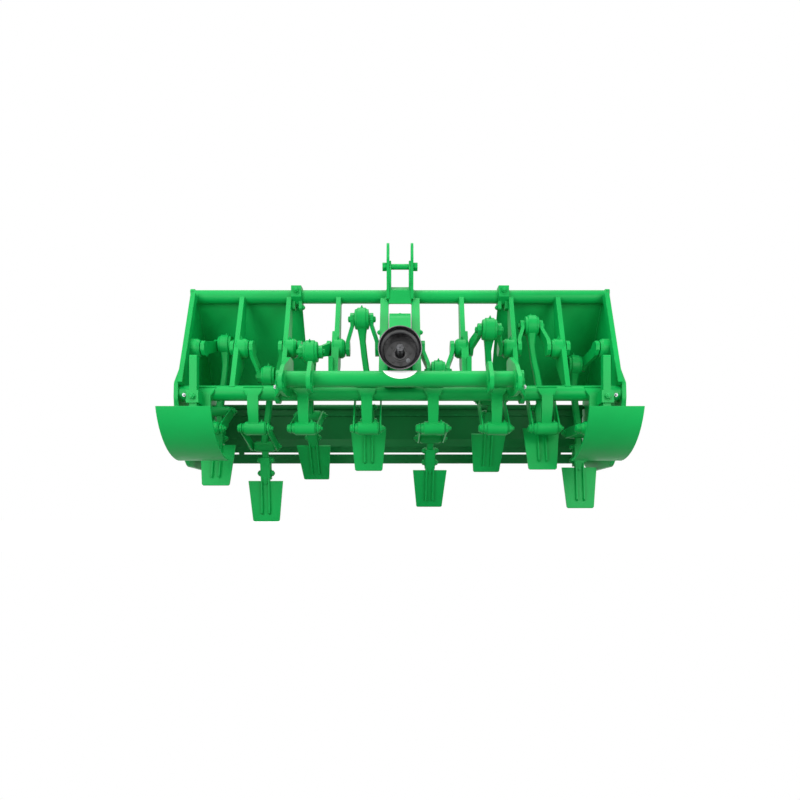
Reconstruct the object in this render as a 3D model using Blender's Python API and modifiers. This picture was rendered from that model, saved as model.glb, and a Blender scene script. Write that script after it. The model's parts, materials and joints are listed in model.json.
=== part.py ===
import math

import bmesh
import bpy
from mathutils import Matrix, Vector

for old in list(bpy.data.objects):
    bpy.data.objects.remove(old, do_unlink=True)

# Spading machine with eight spades. Sizes are metres. x runs to the right seen from the front,
# y rearwards from the lower tube's axis, and z up from near the lowest spade tip.

# Clearances
fit = 0.0003
runGap = 0.0004
overlap = 0.001

# Spade linkage: the crank pin, the arm and the rocker that holds the arm's lower pivot
crankY, crankZ = 0.0845, 0.757
throwRadius = 0.119
armLength = 0.3015
rockerLength = 0.1935
toggleSlack = 0.022
pivotY = 0.0
pivotZ = crankZ + throwRadius - armLength - rockerLength + toggleSlack

# Spades along the machine
firstThrow = 0.160
pitch = 0.205
# One row for each spade: the crank's phase in degrees, and how far the lower pivot lies outside the throw
spades = ((157.5, 0.020), (247.5, 0.031), (-22.5, 0.031), (67.5, -0.024),
          (292.5, -0.024), (22.5, 0.031), (112.5, 0.031), (202.5, 0.020))
# One value for each bearing from the middle outwards: how far its plate lies outside it
plateShift = (0.006, 0.017, 0.0175)

# Tubes: place of the axis, and outer radius
lowY, lowZ, lowR = 0.0, 0.548, 0.0315
topY, topZ, topR = 0.170, 1.010, 0.0285
frontY, frontZ, frontR = -0.130, 0.576, 0.0315
tubeWall = 0.005
wallInner = firstThrow + 3 * pitch + 0.130
wallThick = 0.018
tubeHalf = wallInner - fit
tubeSides = 20
innerSides = 12

# Crankshaft and bearings
journalR = 0.022
crankPinR = 0.018
bigEndR = 0.045
bigEndHalf = 0.028
bigEndFace = 0.036
webGap, webThick, webStep = 0.004, 0.016, 0.022
pinBossR, hubR = 0.026, 0.033
bearingGap = 0.0045
housingR = 0.041
plateThick = 0.020
webNear = bigEndHalf + webGap
webFar = webNear + webThick
hubFar = webFar + webStep
housingHalf = pitch / 2 - hubFar - bearingGap

# Lower pivots and rockers
barrelR, barrelEndR, barrelHalf = 0.0275, 0.019, 0.050
pivotBoltR = 0.012
bracketHalf, bracketThick, bracketFlare = 0.0225, 0.012, 0.042
rockerGap, rockerThick, rockerR = 0.002, 0.006, 0.021
headR, headHigh = 0.015, 0.0095
knuckleR, knuckleGap = 0.0225, 0.005
rockerInner = barrelHalf + rockerGap
rockerOuter = rockerInner + rockerThick

# Arms and blades, measured along the arm from its lower pivot and square to it
shankHalf, shankDeep = 0.0130, 0.0140
padHalf, padDeep, padLong = 0.0235, 0.0110, 0.103
clampBoltR, clampBoltHalf = 0.0095, 0.035
bladeTop, bladeLong = 0.153, 0.181
bladeFront, bladeLean = 0.0064, 0.0176
bladeTopWide, bladeTipWide = 0.154, 0.118
bladeThick = 0.008
tangWide, tangLong, tangThick = 0.042, 0.104, 0.0085
ribApart, ribHigh, ribWide, ribShare = 0.032, 0.012, 0.006, 0.85

# Gearbox, input shaft and its guard
ptoZ = 0.686
gearHalf = 0.045
trunnionR = 0.060
shaftR = 0.0175
splineRoot = 0.84
collarR = 0.0275
flangeY, flangeR, flangeThick = -0.078, 0.061, 0.006
guardRim, guardBack, guardLong, guardThick = 0.085, 0.062, 0.102, 0.003
guardMouth = 0.048
centreInner, centreWeb, centreWide, centreStrip = 0.050, 0.014, 0.035, 0.010

# Hitch
hitchY, hitchZ = -0.190, 0.545
linkPinHole, topPinHole = 0.0145, 0.0130
lobe = 0.032
earInner, earThick = 0.340, 0.016
hitchThick, hitchGap, tubeEnd = 0.016, 0.012, 0.005
topEarInner, topEarThick, topEarHigh = 0.046, 0.012, 0.215
crossPinR, crossHeadR, crossHead, crossRise = 0.012, 0.019, 0.018, 0.112
strapThick = 0.012
ringWide, ringWall = 0.018, 0.012
clampWide, clampLug = 0.044, 0.014

# Covers, side walls and rear gate
sheet = 0.004
hoodInset = 0.008
hoodGap = 0.033
cheekThick = 0.012
cheekBoltR, cheekBoltHigh = 0.013, 0.010
gateY, gateTop = 0.475, 0.579
gateHigh, gateThick, gateRoll, gateStub = 0.218, 0.006, 0.012, 0.0076
gateEndGap = 0.006
slitHigh, barHigh, barThick = 0.014, 0.044, 0.020
tieCount, tieWide, tieSpan = 6, 0.024, 0.780

# Skids
skidWide, skidR, skidThick, skidSweep = 0.202, 0.242, 0.008, 74.4
skidY, skidZ = -0.050, 0.264
strutWide, strutDeep, strutTop = 0.030, 0.029, 0.687
strutInset, strutClear, skidOffset = 0.077, 0.024, 0.031
slotGap, sleeveWall = 0.0008, 0.008
sleeveHigh = 0.050
webThin = 0.010

# Places that follow from the sizes above
spadeSide = [(-1, 3), (-1, 2), (-1, 1), (-1, 0), (1, 0), (1, 1), (1, 2), (1, 3)]
throwX = [side * (firstThrow + n * pitch) for side, n in spadeSide]
pivotX = [x + side * row[1] for x, (side, n), row in zip(throwX, spadeSide, spades)]
bearings = [(side, side * (firstThrow + (n + 0.5) * pitch), side * plateShift[n]) for side, n in spadeSide if n < 3]
secondPlate = firstThrow + 1.5 * pitch + plateShift[1] - plateThick / 2
clampOuter = secondPlate - fit
hitchOuter = secondPlate - hitchGap
strutX = wallInner - strutInset
strutRear = lowY - lowR - strutClear

parts = bpy.data.collections.new("spading_machine")
bpy.context.scene.collection.children.link(parts)
workshop = bpy.data.collections.new("workshop")
bpy.context.scene.collection.children.link(workshop)
root = bpy.data.objects.new("hitch_axis", None)
root.location = (0, -hitchY, -hitchZ)
parts.objects.link(root)


def paint(name, colour, metallic, roughness):
    material = bpy.data.materials.new(name)
    material.use_nodes = True
    shader = material.node_tree.nodes["Principled BSDF"]
    shader.inputs["Base Color"].default_value = colour
    shader.inputs["Metallic"].default_value = metallic
    shader.inputs["Roughness"].default_value = roughness
    material.diffuse_color = colour
    return material


greenPaint = paint("green_paint", (0.020, 0.390, 0.085, 1.0), 0.0, 0.40)
blackPlastic = paint("black_plastic", (0.015, 0.015, 0.016, 1.0), 0.0, 0.30)
bareSteel = paint("bare_steel", (0.420, 0.430, 0.440, 1.0), 1.0, 0.35)


def place(data):
    body = bpy.data.objects.new("solid", data)
    workshop.objects.link(body)
    return body


def meshOf(bm):
    mesh = bpy.data.meshes.new("solid")
    bm.to_mesh(mesh)
    bm.free()
    return place(mesh)


def settled(body):
    # the object as a plain closed mesh in world space, with its doubles merged
    bpy.context.view_layer.update()
    mesh = bpy.data.meshes.new_from_object(body.evaluated_get(bpy.context.evaluated_depsgraph_get()))
    bm = bmesh.new()
    bm.from_mesh(mesh)
    bm.transform(body.matrix_world)
    bpy.data.meshes.remove(mesh)
    bpy.data.objects.remove(body, do_unlink=True)
    bmesh.ops.remove_doubles(bm, verts=bm.verts, dist=0.00001)
    bmesh.ops.recalc_face_normals(bm, faces=bm.faces)
    return meshOf(bm)


def cylinder(start, end, radius, sides=16, endRadius=None, turn=0):
    start, end = Vector(start), Vector(end)
    along = end - start
    aim = along.to_track_quat("Z", "Y").to_matrix().to_4x4() @ Matrix.Rotation(turn, 4, "Z")
    bm = bmesh.new()
    bmesh.ops.create_cone(bm, cap_ends=True, segments=sides, radius1=radius,
                          radius2=radius if endRadius is None else endRadius, depth=along.length,
                          matrix=Matrix.Translation((start + end) / 2) @ aim)
    return meshOf(bm)


def crossBar(x0, x1, y, z, radius, sides=16):
    return cylinder((min(x0, x1), y, z), (max(x0, x1), y, z), radius, sides)


def boreAlong(start, end, radius, sides):
    # a hole whose flats clear a round bar of this radius by the running gap, set half a side round from it
    return cylinder(start, end, (radius + runGap) / math.cos(math.pi / sides), sides, turn=math.pi / sides)


def bore(x0, x1, y, z, radius, sides):
    return boreAlong((min(x0, x1), y, z), (max(x0, x1), y, z), radius, sides)


def block(x0, x1, y0, y1, z0, z1):
    size = Matrix.Diagonal((abs(x1 - x0), y1 - y0, z1 - z0, 1))
    middle = Matrix.Translation(((x0 + x1) / 2, (y0 + y1) / 2, (z0 + z1) / 2))
    bm = bmesh.new()
    bmesh.ops.create_cube(bm, size=1, matrix=middle @ size)
    return meshOf(bm)


def turned(rows, y, z, sides=16):
    # a profile of (x, radius) turned about a line along x; its first and last radius are zero
    mesh = bpy.data.meshes.new("profile")
    mesh.from_pydata([(x, 0, radius) for x, radius in rows], [(i, i + 1) for i in range(len(rows) - 1)], [])
    body = place(mesh)
    body.location = (0, y, z)
    screw = body.modifiers.new("turn", "SCREW")
    screw.axis = "X"
    screw.steps = sides
    screw.render_steps = sides
    screw.use_merge_vertices = True
    screw.merge_threshold = 0.00001
    return settled(body)


def rounded(corners, steps=3):
    # corners are (y, z, radius); each becomes an arc that touches both of its edges
    out = []
    for i, (y, z, radius) in enumerate(corners):
        here = Vector((y, z))
        back = Vector(corners[i - 1][:2]) - here
        ahead = Vector(corners[(i + 1) % len(corners)][:2]) - here
        angle = back.angle(ahead)
        if radius <= 0 or angle > math.radians(172):
            out.append(here)
            continue
        reach = min(radius / math.tan(angle / 2), 0.45 * back.length, 0.45 * ahead.length)
        start, end = here + back.normalized() * reach, here + ahead.normalized() * reach
        centre = here + (back.normalized() + ahead.normalized()).normalized() * (reach / math.cos(angle / 2))
        first, last = start - centre, end - centre
        sweep = first.angle_signed(last)
        for k in range(steps + 1):
            c, s = math.cos(-sweep * k / steps), math.sin(-sweep * k / steps)
            out.append(centre + Vector((first.x * c - first.y * s, first.x * s + first.y * c)))
    return out


def plate(outline, x0, x1, holes=()):
    # a flat outline in y and z, with round holes (y, z, radius), made as thick as x0 to x1
    curve = bpy.data.curves.new("outline", "CURVE")
    curve.dimensions = "2D"
    curve.fill_mode = "BOTH"
    curve.extrude = abs(x1 - x0) / 2
    loops = [[(p[0], p[1]) for p in outline]]
    for y, z, radius in holes:
        loops.append([(y + radius * math.cos(math.tau * i / 12), z + radius * math.sin(math.tau * i / 12))
                      for i in range(12)])
    for loop in loops:
        spline = curve.splines.new("POLY")
        spline.points.add(len(loop) - 1)
        spline.use_cyclic_u = True
        for point, (y, z) in zip(spline.points, loop):
            point.co = (y, z, 0, 1)
    flat = place(curve)
    flat.matrix_world = Matrix(((0, 0, 1, (x0 + x1) / 2), (1, 0, 0, 0), (0, 1, 0, 0), (0, 0, 0, 1)))
    return settled(flat)


def loft(sections):
    # a closed skin over unlike sections, each a ring of points
    bm = bmesh.new()
    rings = [[bm.verts.new(p) for p in section] for section in sections]
    for a, b in zip(rings, rings[1:]):
        for i in range(len(a)):
            j = (i + 1) % len(a)
            bm.faces.new((a[i], a[j], b[j], b[i]))
    bm.faces.new(rings[0])
    bm.faces.new(rings[-1])
    bmesh.ops.recalc_face_normals(bm, faces=bm.faces)
    return meshOf(bm)


def carve(body, tool, operation):
    cut = body.modifiers.new(operation, "BOOLEAN")
    cut.operation = operation
    cut.solver = "EXACT"
    cut.object = tool
    bpy.context.view_layer.update()
    mesh = bpy.data.meshes.new_from_object(body.evaluated_get(bpy.context.evaluated_depsgraph_get()))
    body.modifiers.clear()
    body.data = mesh
    bpy.data.objects.remove(tool, do_unlink=True)


def piece(name, solids, cuts=(), material=None, origin=(0, 0, 0)):
    # joins the solids into one body, takes the cuts away, and sets the body's own origin
    body = solids[0]
    for other in solids[1:]:
        carve(body, other, "UNION")
    for tool in cuts:
        carve(body, tool, "DIFFERENCE")
    bm = bmesh.new()
    bm.from_mesh(body.data)
    bmesh.ops.remove_doubles(bm, verts=bm.verts, dist=0.000002)
    bmesh.ops.dissolve_degenerate(bm, edges=bm.edges, dist=0.000002)
    bmesh.ops.translate(bm, vec=-Vector(origin), verts=bm.verts)
    bm.to_mesh(body.data)
    bm.free()
    body.data.shade_smooth()
    body.data.set_sharp_from_angle(angle=math.radians(35))
    body.data.materials.clear()
    body.data.materials.append(material or greenPaint)
    body.name = name
    body.data.name = name
    body.parent = root
    body.location = origin
    workshop.objects.unlink(body)
    parts.objects.link(body)
    return body


def span(side, near, far):
    return sorted((side * near, side * far))


def seat(y, z, radius):
    # the space that a tube takes up in the plates that it passes through
    return crossBar(-1, 1, y, z, radius + fit, tubeSides)


def lowSeat():
    return seat(lowY, lowZ, lowR)


def topSeat():
    return seat(topY, topZ, topR)


def frontSeat():
    return seat(frontY, frontZ, frontR)


def journalBore(x0=-1, x1=1):
    return bore(x0, x1, crankY, crankZ, journalR, 12)


def tube(half, y, z, radius):
    solid = crossBar(-half, half, y, z, radius, tubeSides)
    return solid, crossBar(-1, 1, y, z, radius - tubeWall, innerSides)


def linkage(index):
    # the crank pin, the arm's lower pivot and the direction between them, at rest
    phase = math.radians(spades[index][0])
    pin = Vector((crankY - throwRadius * math.cos(phase), crankZ + throwRadius * math.sin(phase)))
    reach = Vector((pivotY, pivotZ)) - pin
    along = (armLength ** 2 - rockerLength ** 2 + reach.length_squared) / (2 * reach.length)
    aside = math.sqrt(armLength ** 2 - along ** 2)
    u = reach.normalized()
    across = Vector((-u.y, u.x)) * aside
    knee = max(pin + u * along + across, pin + u * along - across, key=lambda p: p.x)
    return pin, knee, (knee - pin) / armLength


def topTube():
    solid, hollow = tube(tubeHalf, topY, topZ, topR)
    piece("top_tube", [solid], [hollow])


def pivotBracket(x):
    # flat bar that flares over the tube's front and bends down to the barrel
    front = lowY - lowR - 0.006
    foot = pivotY - barrelR
    rows = []
    for y, z, half in ((front + 0.012, lowZ + 0.020, bracketFlare), (front + 0.002, lowZ + 0.004, bracketFlare * 0.86),
                       (front, lowZ - 0.020, bracketHalf), (front, lowZ - lowR - 0.020, bracketHalf),
                       (foot - 0.008, pivotZ + 0.060, bracketHalf * 0.95), (foot + 0.002, pivotZ + 0.026, bracketHalf * 0.9),
                       (foot + 0.014, pivotZ + 0.004, bracketHalf * 0.9)):
        rows.append([(x - half, y, z), (x + half, y, z), (x + half, y + bracketThick, z), (x - half, y + bracketThick, z)])
    return loft(rows)


def skidSleeve(side):
    x = side * strutX
    half, rear = strutWide / 2 + slotGap, strutRear + slotGap
    front = rear - strutDeep - 2 * slotGap
    low = lowZ - lowR - 0.5 * sleeveHigh
    solid = block(x - half - sleeveWall, x + half + sleeveWall, front - sleeveWall, lowY - lowR + 0.012, low, low + sleeveHigh)
    return solid, block(x - half, x + half, front, rear, low - overlap, low + sleeveHigh + overlap)


def lowerTube():
    solid, hollow = tube(tubeHalf, lowY, lowZ, lowR)
    solids, cuts = [solid], [hollow]
    shoulder = barrelHalf * 0.6
    for x in pivotX:
        solids.append(pivotBracket(x))
        solids.append(turned([(x - barrelHalf, 0), (x - barrelHalf, barrelEndR), (x - shoulder, barrelR),
                              (x + shoulder, barrelR), (x + barrelHalf, barrelEndR), (x + barrelHalf, 0)], pivotY, pivotZ, 14))
        cuts.append(bore(x - barrelHalf - overlap, x + barrelHalf + overlap, pivotY, pivotZ, pivotBoltR, 10))
    for side in (-1, 1):
        sleeve, slot = skidSleeve(side)
        solids.append(sleeve)
        cuts.append(slot)
    piece("lower_tube", solids, cuts)


def linkEar(side):
    top, low = frontZ + frontR + 0.032, hitchZ - lobe * 0.9
    outline = rounded([(hitchY - lobe, hitchZ + 0.018, 0.025), (frontY - 0.034, top, 0.020), (frontY + 0.022, top, 0.012),
                       (frontY + 0.028, frontZ, 0.010), (frontY - 0.010, low, 0.020), (hitchY - lobe * 0.8, low, 0.024)])
    return plate(outline, *span(side, earInner, earInner + earThick), [(hitchY, hitchZ, linkPinHole)])


def frontTube():
    solid, hollow = tube(hitchOuter + tubeEnd, frontY, frontZ, frontR)
    piece("front_tube", [solid, linkEar(-1), linkEar(1)], [hollow])


def hitchPlate(label, side):
    # outer lower-link ear, and the web from the front tube to the lower tube
    low = hitchZ - lobe
    outline = rounded([(hitchY - lobe, hitchZ + 0.018, 0.025), (frontY - 0.026, frontZ + frontR + 0.020, 0.025),
                       (lowY - 0.030, lowZ + 0.142, 0.040), (lowY + 0.034, lowZ + 0.142, 0.010),
                       (lowY + 0.022, lowZ + 0.008, 0), (lowY - 0.018, lowZ - 0.020, 0),
                       (frontY + 0.010, low, 0.030), (hitchY - lobe * 0.8, low, 0.024)])
    body = plate(outline, *span(side, hitchOuter - hitchThick, hitchOuter), [(hitchY, hitchZ, linkPinHole)])
    piece("hitch_plate_" + label, [body], [lowSeat(), frontSeat()])


def hitchTie(label, side):
    # bent strap from the front tube's end to a ring on the lower tube
    near = hitchOuter + tubeEnd + overlap
    far = secondPlate + plateThick + fit
    rows = []
    for y, low, high, x in ((frontY - 0.034, -0.014, 0.014, near), (frontY - 0.020, -0.030, 0.031, near),
                            (frontY + 0.030, -0.040, 0.035, near), (lowY - lowR - 0.018, -0.054, 0.020, far),
                            (lowY - 0.010, -0.066, 0.010, far)):
        z0, z1 = frontZ + low, frontZ + high
        rows.append([(side * x, y, z0), (side * (x + strapThick), y, z0), (side * (x + strapThick), y, z1), (side * x, y, z1)])
    ring = crossBar(side * far, side * (far + ringWide), lowY, lowZ, lowR + ringWall, tubeSides)
    boltX, boltZ = side * (far + ringWide / 2), lowZ + 0.014
    bolt = cylinder((boltX, lowY - lowR - 0.024, boltZ), (boltX, lowY - lowR + 0.004, boltZ), 0.0085, 6)
    piece("hitch_tie_" + label, [loft(rows), ring, bolt], [lowSeat()])


def tubeClamp(label, side):
    # block gripping the top tube from the front, with two lugs hanging below it
    inner = clampOuter - clampWide
    front, rear, low = topY - topR - 0.016, topY + topR + 0.010, topZ - topR - 0.008
    head = rounded([(front, topZ + 0.036, 0.006), (front, topZ - 0.014, 0.006), (topY - 0.010, low, 0.008),
                    (topY + 0.020, low, 0.010), (rear, topZ - 0.010, 0.012), (rear, topZ + 0.020, 0.012),
                    (topY + 0.010, topZ + topR + 0.012, 0.010)])
    solids = [plate(head, *span(side, inner, clampOuter))]
    for near in (inner, clampOuter - clampLug):
        lug = rounded([(topY - 0.024, topZ - topR + 0.002, 0), (topY - 0.024, low - 0.026, 0.008), (topY + 0.004, low - 0.026, 0.008),
                       (topY + 0.010, topZ - topR, 0)])
        solids.append(plate(lug, *span(side, near, near + clampLug)))
    boltX = side * (inner + clampWide / 2)
    solids.append(cylinder((boltX, front - 0.010, topZ + 0.012), (boltX, front + 0.002, topZ + 0.012), 0.012, 6))
    piece("tube_clamp_" + label, solids, [topSeat()])


def topLink():
    # columns: y and z from the top tube's axis, corner radius
    corners = ((-0.062, topEarHigh, 0.018), (-0.078, 0.140, 0.030), (-0.062, 0.030, 0.030), (-0.060, -0.030, 0.004),
               (-0.0465, -0.030, 0), (-0.038, -0.007, 0), (-0.012, -0.007, 0), (0.010, 0.022, 0), (0.010, 0.046, 0.010),
               (-0.020, 0.120, 0.030), (-0.024, topEarHigh, 0.018))
    pinY, pinZ = topY - 0.050, topZ + crossRise
    ear = rounded([(topY + y, topZ + z, radius) for y, z, radius in corners])
    outer = topEarInner + topEarThick
    solids = []
    for side in (-1, 1):
        solids.append(plate(ear, *span(side, topEarInner, outer),
                            [(topY - 0.044, topZ + topEarHigh - 0.035, topPinHole), (pinY, pinZ, crossPinR + runGap * 2)]))
    bent = rounded([(topY - 0.056, topZ - 0.049, 0), (topY - 0.048, topZ - 0.049, 0), (topY - 0.047, topZ + 0.002, 0.006),
                    (topY - 0.014, topZ + 0.026, 0), (topY - 0.020, topZ + 0.036, 0), (topY - 0.056, topZ + 0.010, 0.010)])
    solids.append(plate(bent, -topEarInner - 0.003, topEarInner + 0.003))
    piece("top_link_bracket", solids, [topSeat()])
    piece("top_link_pin", [crossBar(-outer - crossHead / 2, outer + crossHead / 2, pinY, pinZ, crossPinR, 12),
                           crossBar(-outer - crossHead, -outer - fit, pinY, pinZ, crossHeadR, 6),
                           crossBar(outer + fit, outer + crossHead, pinY, pinZ, crossHeadR, 6)])


def centrePlate(label, side):
    # web beside the gearbox, and the wider strip along its front edge
    high, low = Vector((topY - topR - 0.004, topZ - 0.012)), Vector((frontY + 0.028, frontZ + frontR - 0.008))
    outline = rounded([(high.x, high.y, 0), (low.x, low.y, 0), (frontY + 0.008, frontZ + 0.006, 0), (lowY + 0.010, lowZ + 0.012, 0),
                       (lowY + 0.052, lowZ + 0.060, 0.020), (crankY - 0.020, crankZ - 0.076, 0.030), (crankY + 0.075, crankZ - 0.060, 0.040),
                       (crankY + 0.085, crankZ + 0.050, 0.050), (topY + 0.010, topZ - 0.034, 0.020), (topY + 0.004, topZ - 0.004, 0)])
    back = (high - low).normalized() * 0.006
    strip = [high - back, low + back, low + back + Vector((centreStrip, 0)), high - back + Vector((centreStrip, 0))]
    piece("centre_plate_" + label,
          [plate(outline, *span(side, centreInner, centreInner + centreWeb)),
           plate(strip, *span(side, centreInner + 0.002, centreInner + centreWide))],
          [topSeat(), frontSeat(), lowSeat(), journalBore()])


def gearbox():
    rear, crown, sump = crankY + 0.112, crankZ + 0.138, ptoZ - 0.086
    casing = rounded([(flangeY + 0.018, ptoZ - flangeR, 0.035), (flangeY + 0.018, ptoZ + flangeR, 0.035),
                      (crankY - 0.090, crown - 0.030, 0.035), (crankY - 0.040, crown, 0.030), (crankY + 0.050, crown, 0.035),
                      (rear, crown - 0.060, 0.035), (rear, crankZ - 0.050, 0.035), (crankY + 0.050, sump + 0.012, 0.035),
                      (crankY - 0.070, sump, 0.035)])
    half = centreInner - fit
    solids = [plate(casing, -gearHalf, gearHalf), crossBar(-half, half, crankY, crankZ, trunnionR, 20),
              cylinder((0, flangeY, ptoZ), (0, flangeY + flangeThick, ptoZ), flangeR, 20),
              cylinder((0, flangeY + overlap, ptoZ), (0, 0, ptoZ), half, 20)]
    piece("gearbox", solids, [journalBore(), boreAlong((0, flangeY - 0.1, ptoZ), (0, -0.020, ptoZ), shaftR, 16)])


def ptoGuard():
    back = flangeY - fit
    rim = back - guardLong
    flare = (guardRim - guardBack) / guardLong
    hollow = cylinder((0, back - guardThick, ptoZ), (0, rim - 0.01, ptoZ), guardBack - guardThick + guardThick * flare, 24,
                      guardRim - guardThick + 0.01 * flare)
    piece("pto_guard", [cylinder((0, back, ptoZ), (0, rim, ptoZ), guardBack, 24, guardRim)],
          [hollow, cylinder((0, back + 0.01, ptoZ), (0, back - 0.01, ptoZ), guardMouth, 16)], blackPlastic)


def ptoShaft():
    # six-spline stub with a collar, running back into the gearbox
    spline = []
    for k in range(6):
        for degrees, share in ((-15, splineRoot), (-13, 1), (13, 1), (15, splineRoot)):
            turn = math.radians(60 * k + degrees)
            spline.append((shaftR * share * math.cos(turn), shaftR * share * math.sin(turn)))
    tip, collar = flangeY - guardLong + 0.008, flangeY - 0.020
    stub = loft([[(x, y, ptoZ + z) for x, z in spline] for y in (tip, collar - 0.002)])
    piece("pto_shaft", [cylinder((0, collar - 0.004, ptoZ), (0, -0.022, ptoZ), shaftR, 16), stub,
                        cylinder((0, collar, ptoZ), (0, collar + 0.014, ptoZ), collarR, 16)],
          material=bareSteel, origin=(0, flangeY, ptoZ))


def bearingPlate(number, side, x, shift):
    # upright between the tubes, with the bearing's housing; the two middle ones carry a strip and a prop
    plateX = x + shift
    half = plateThick / 2
    high, low = Vector((topY - topR - 0.004, topZ - 0.012)), Vector((lowY - 0.022, lowZ + 0.024))
    outline = rounded([(high.x, high.y, 0), (low.x, low.y, 0), (lowY + 0.006, lowZ + 0.012, 0),
                       (lowY + 0.052, lowZ + 0.055, 0.020), (crankY + 0.050, crankZ - 0.062, 0.040), (crankY + 0.064, crankZ + 0.040, 0.040),
                       (topY + 0.010, topZ - 0.034, 0.020), (topY + 0.004, topZ - 0.004, 0)])
    solids = [plate(outline, plateX - half, plateX + half),
              turned([(x - housingHalf, 0), (x - housingHalf, housingR * 0.8), (x - housingHalf * 0.6, housingR),
                      (x + housingHalf * 0.6, housingR), (x + housingHalf, housingR * 0.8), (x + housingHalf, 0)], crankY, crankZ)]
    if abs(x) < firstThrow + pitch:
        outer = abs(plateX) + half
        solids.append(block(*span(side, outer - overlap, outer + 0.0175), lowY - 0.008, lowY + 0.030, lowZ + 0.020, lowZ + 0.152))
        bottom, top = low.lerp(high, 0.05), low.lerp(high, 0.61)
        wide = Vector((0.032, 0))
        strip = rounded([(*top, 0.013), (*bottom, 0), (*(bottom + wide), 0), (*(top + wide), 0.013)])
        solids.append(plate(strip, *span(side, outer - 0.004, outer + 0.010)))
    piece("bearing_plate_%d" % number, solids, [topSeat(), lowSeat(), journalBore()])


def sideWall(label, side):
    rear = gateY + 0.020
    outline = rounded([(topY - 0.020, topZ + 0.034, 0.014), (topY - 0.006, topZ - 0.020, 0), (0.093, 0.830, 0), (0.046, 0.685, 0.02),
                       (lowY - 0.036, lowZ + 0.036, 0.03), (lowY - 0.040, lowZ - 0.030, 0.03), (0.0, 0.440, 0),
                       (0.025, 0.360, 0.05), (0.060, 0.300, 0.03), (0.115, 0.255, 0.05), (gateY - 0.075, 0.255, 0.05),
                       (gateY, 0.300, 0.04), (rear, 0.370, 0.03), (rear, gateTop + 0.031, 0.02),
                       (topY + 0.070, topZ - 0.010, 0.03), (topY + 0.035, topZ + 0.034, 0.014)])
    near = wallInner - 2 * housingHalf
    shoulder = near + 0.4 * housingHalf
    hub = [(side * near, 0), (side * near, housingR * 0.8), (side * shoulder, housingR),
           (side * (wallInner + 0.003), housingR), (side * (wallInner + 0.003), 0)]
    solids = [plate(outline, *span(side, wallInner, wallInner + wallThick), [(gateY, gateTop, gateStub + 2 * runGap)]),
              turned(hub, crankY, crankZ)]
    piece("side_wall_" + label, solids, [journalBore(*span(side, near - overlap, wallInner + 0.002))])


def cheekPlate(label, side):
    near = wallInner + wallThick + fit
    outline = rounded([(0.083, 0.700, 0.012), (lowY - 0.004, lowZ - 0.031, 0.020), (0.006, 0.400, 0.020), (0.080, 0.300, 0.050),
                       (gateY - 0.075, 0.300, 0.050), (gateY - 0.035, 0.360, 0.030), (gateY - 0.035, 0.540, 0.040), (0.300, 0.700, 0.030)])
    solids = [plate(outline, *span(side, near, near + cheekThick))]
    for y, z in ((0.094, 0.655), (0.300, 0.640), (0.110, 0.400), (0.380, 0.400)):
        solids.append(crossBar(side * (near + 0.006), side * (near + cheekThick + cheekBoltHigh), y, z, cheekBoltR, 6))
    piece("cheek_plate_" + label, solids)


def hood(label, side):
    # sheet from the top tube's rear down towards the gate, with a short vertical lip at the top
    top, low = Vector((topY + topR + 0.001, topZ)), Vector((gateY - 0.012, gateTop + hoodGap))
    bend = Vector((topY + topR + 0.006, topZ - 0.014))
    along = (low - bend).normalized()
    thick = Vector((-along.y, along.x)) * sheet
    outline = [top, top + Vector((sheet, 0)), bend + thick, low + thick, low, bend]
    inner = clampOuter - clampWide + hoodInset
    notch = block(*span(side, inner - 0.05, clampOuter + fit), topY, topY + topR + 0.012, topZ - 0.06, topZ + 0.06)
    piece("hood_" + label, [plate(outline, *span(side, inner, tubeHalf))], [notch])


def rearGate():
    half = wallInner - gateEndGap
    stub = wallInner + wallThick - 0.003
    low = gateTop - gateHigh
    solids = [block(-half, half, gateY - gateThick / 2, gateY + gateThick / 2, low, gateTop),
              crossBar(-half, half, gateY, gateTop, gateRoll, 14), crossBar(-stub, stub, gateY, gateTop, gateStub, 10)]
    piece("rear_gate", solids, origin=(0, gateY, gateTop))
    top = low - slitHigh
    solids = [block(-half, half, gateY - barThick / 2, gateY + barThick / 2, top - barHigh, top)]
    for k in range(tieCount):
        x = tieSpan * (2 * k / (tieCount - 1) - 1)
        solids.append(block(x - tieWide / 2, x + tieWide / 2, gateY - gateThick, gateY + gateThick, top - 0.01, low - fit))
    piece("gate_bar", solids, origin=(0, gateY, gateTop))


def skid(label, side):
    x = side * strutX
    centre = Vector((skidY, skidZ + skidR))

    def onArc(degrees, radius):
        turn = math.radians(270 - degrees)
        return centre + radius * Vector((math.cos(turn), math.sin(turn)))

    turns = [skidSweep * (1 - i / 12) for i in range(13)]
    shoe = [onArc(t, skidR) for t in turns] + [onArc(t, skidR - skidThick) for t in reversed(turns)]
    rear, front = strutRear, strutRear - strutDeep
    middle = skidR - skidThick / 2
    foot = centre.y - math.sqrt(middle ** 2 - (rear - centre.x) ** 2)
    strut = rounded([(front, foot, 0), (rear, foot, 0), (rear, strutTop, 0.014), (front, strutTop, 0.014)], 4)
    web = [Vector((rear - 0.014, foot)), Vector((rear - 0.014, foot + 0.150))]
    web += [onArc(t, middle) for t in (50, 37, 25, 12)]
    inner = strutX - skidWide / 2 - skidOffset
    piece("skid_" + label, [plate(shoe, *span(side, inner, inner + skidWide)), plate(strut, x - strutWide / 2, x + strutWide / 2),
                            plate(web, x - webThin / 2, x + webThin / 2)], origin=(x, (front + rear) / 2, foot))


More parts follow.
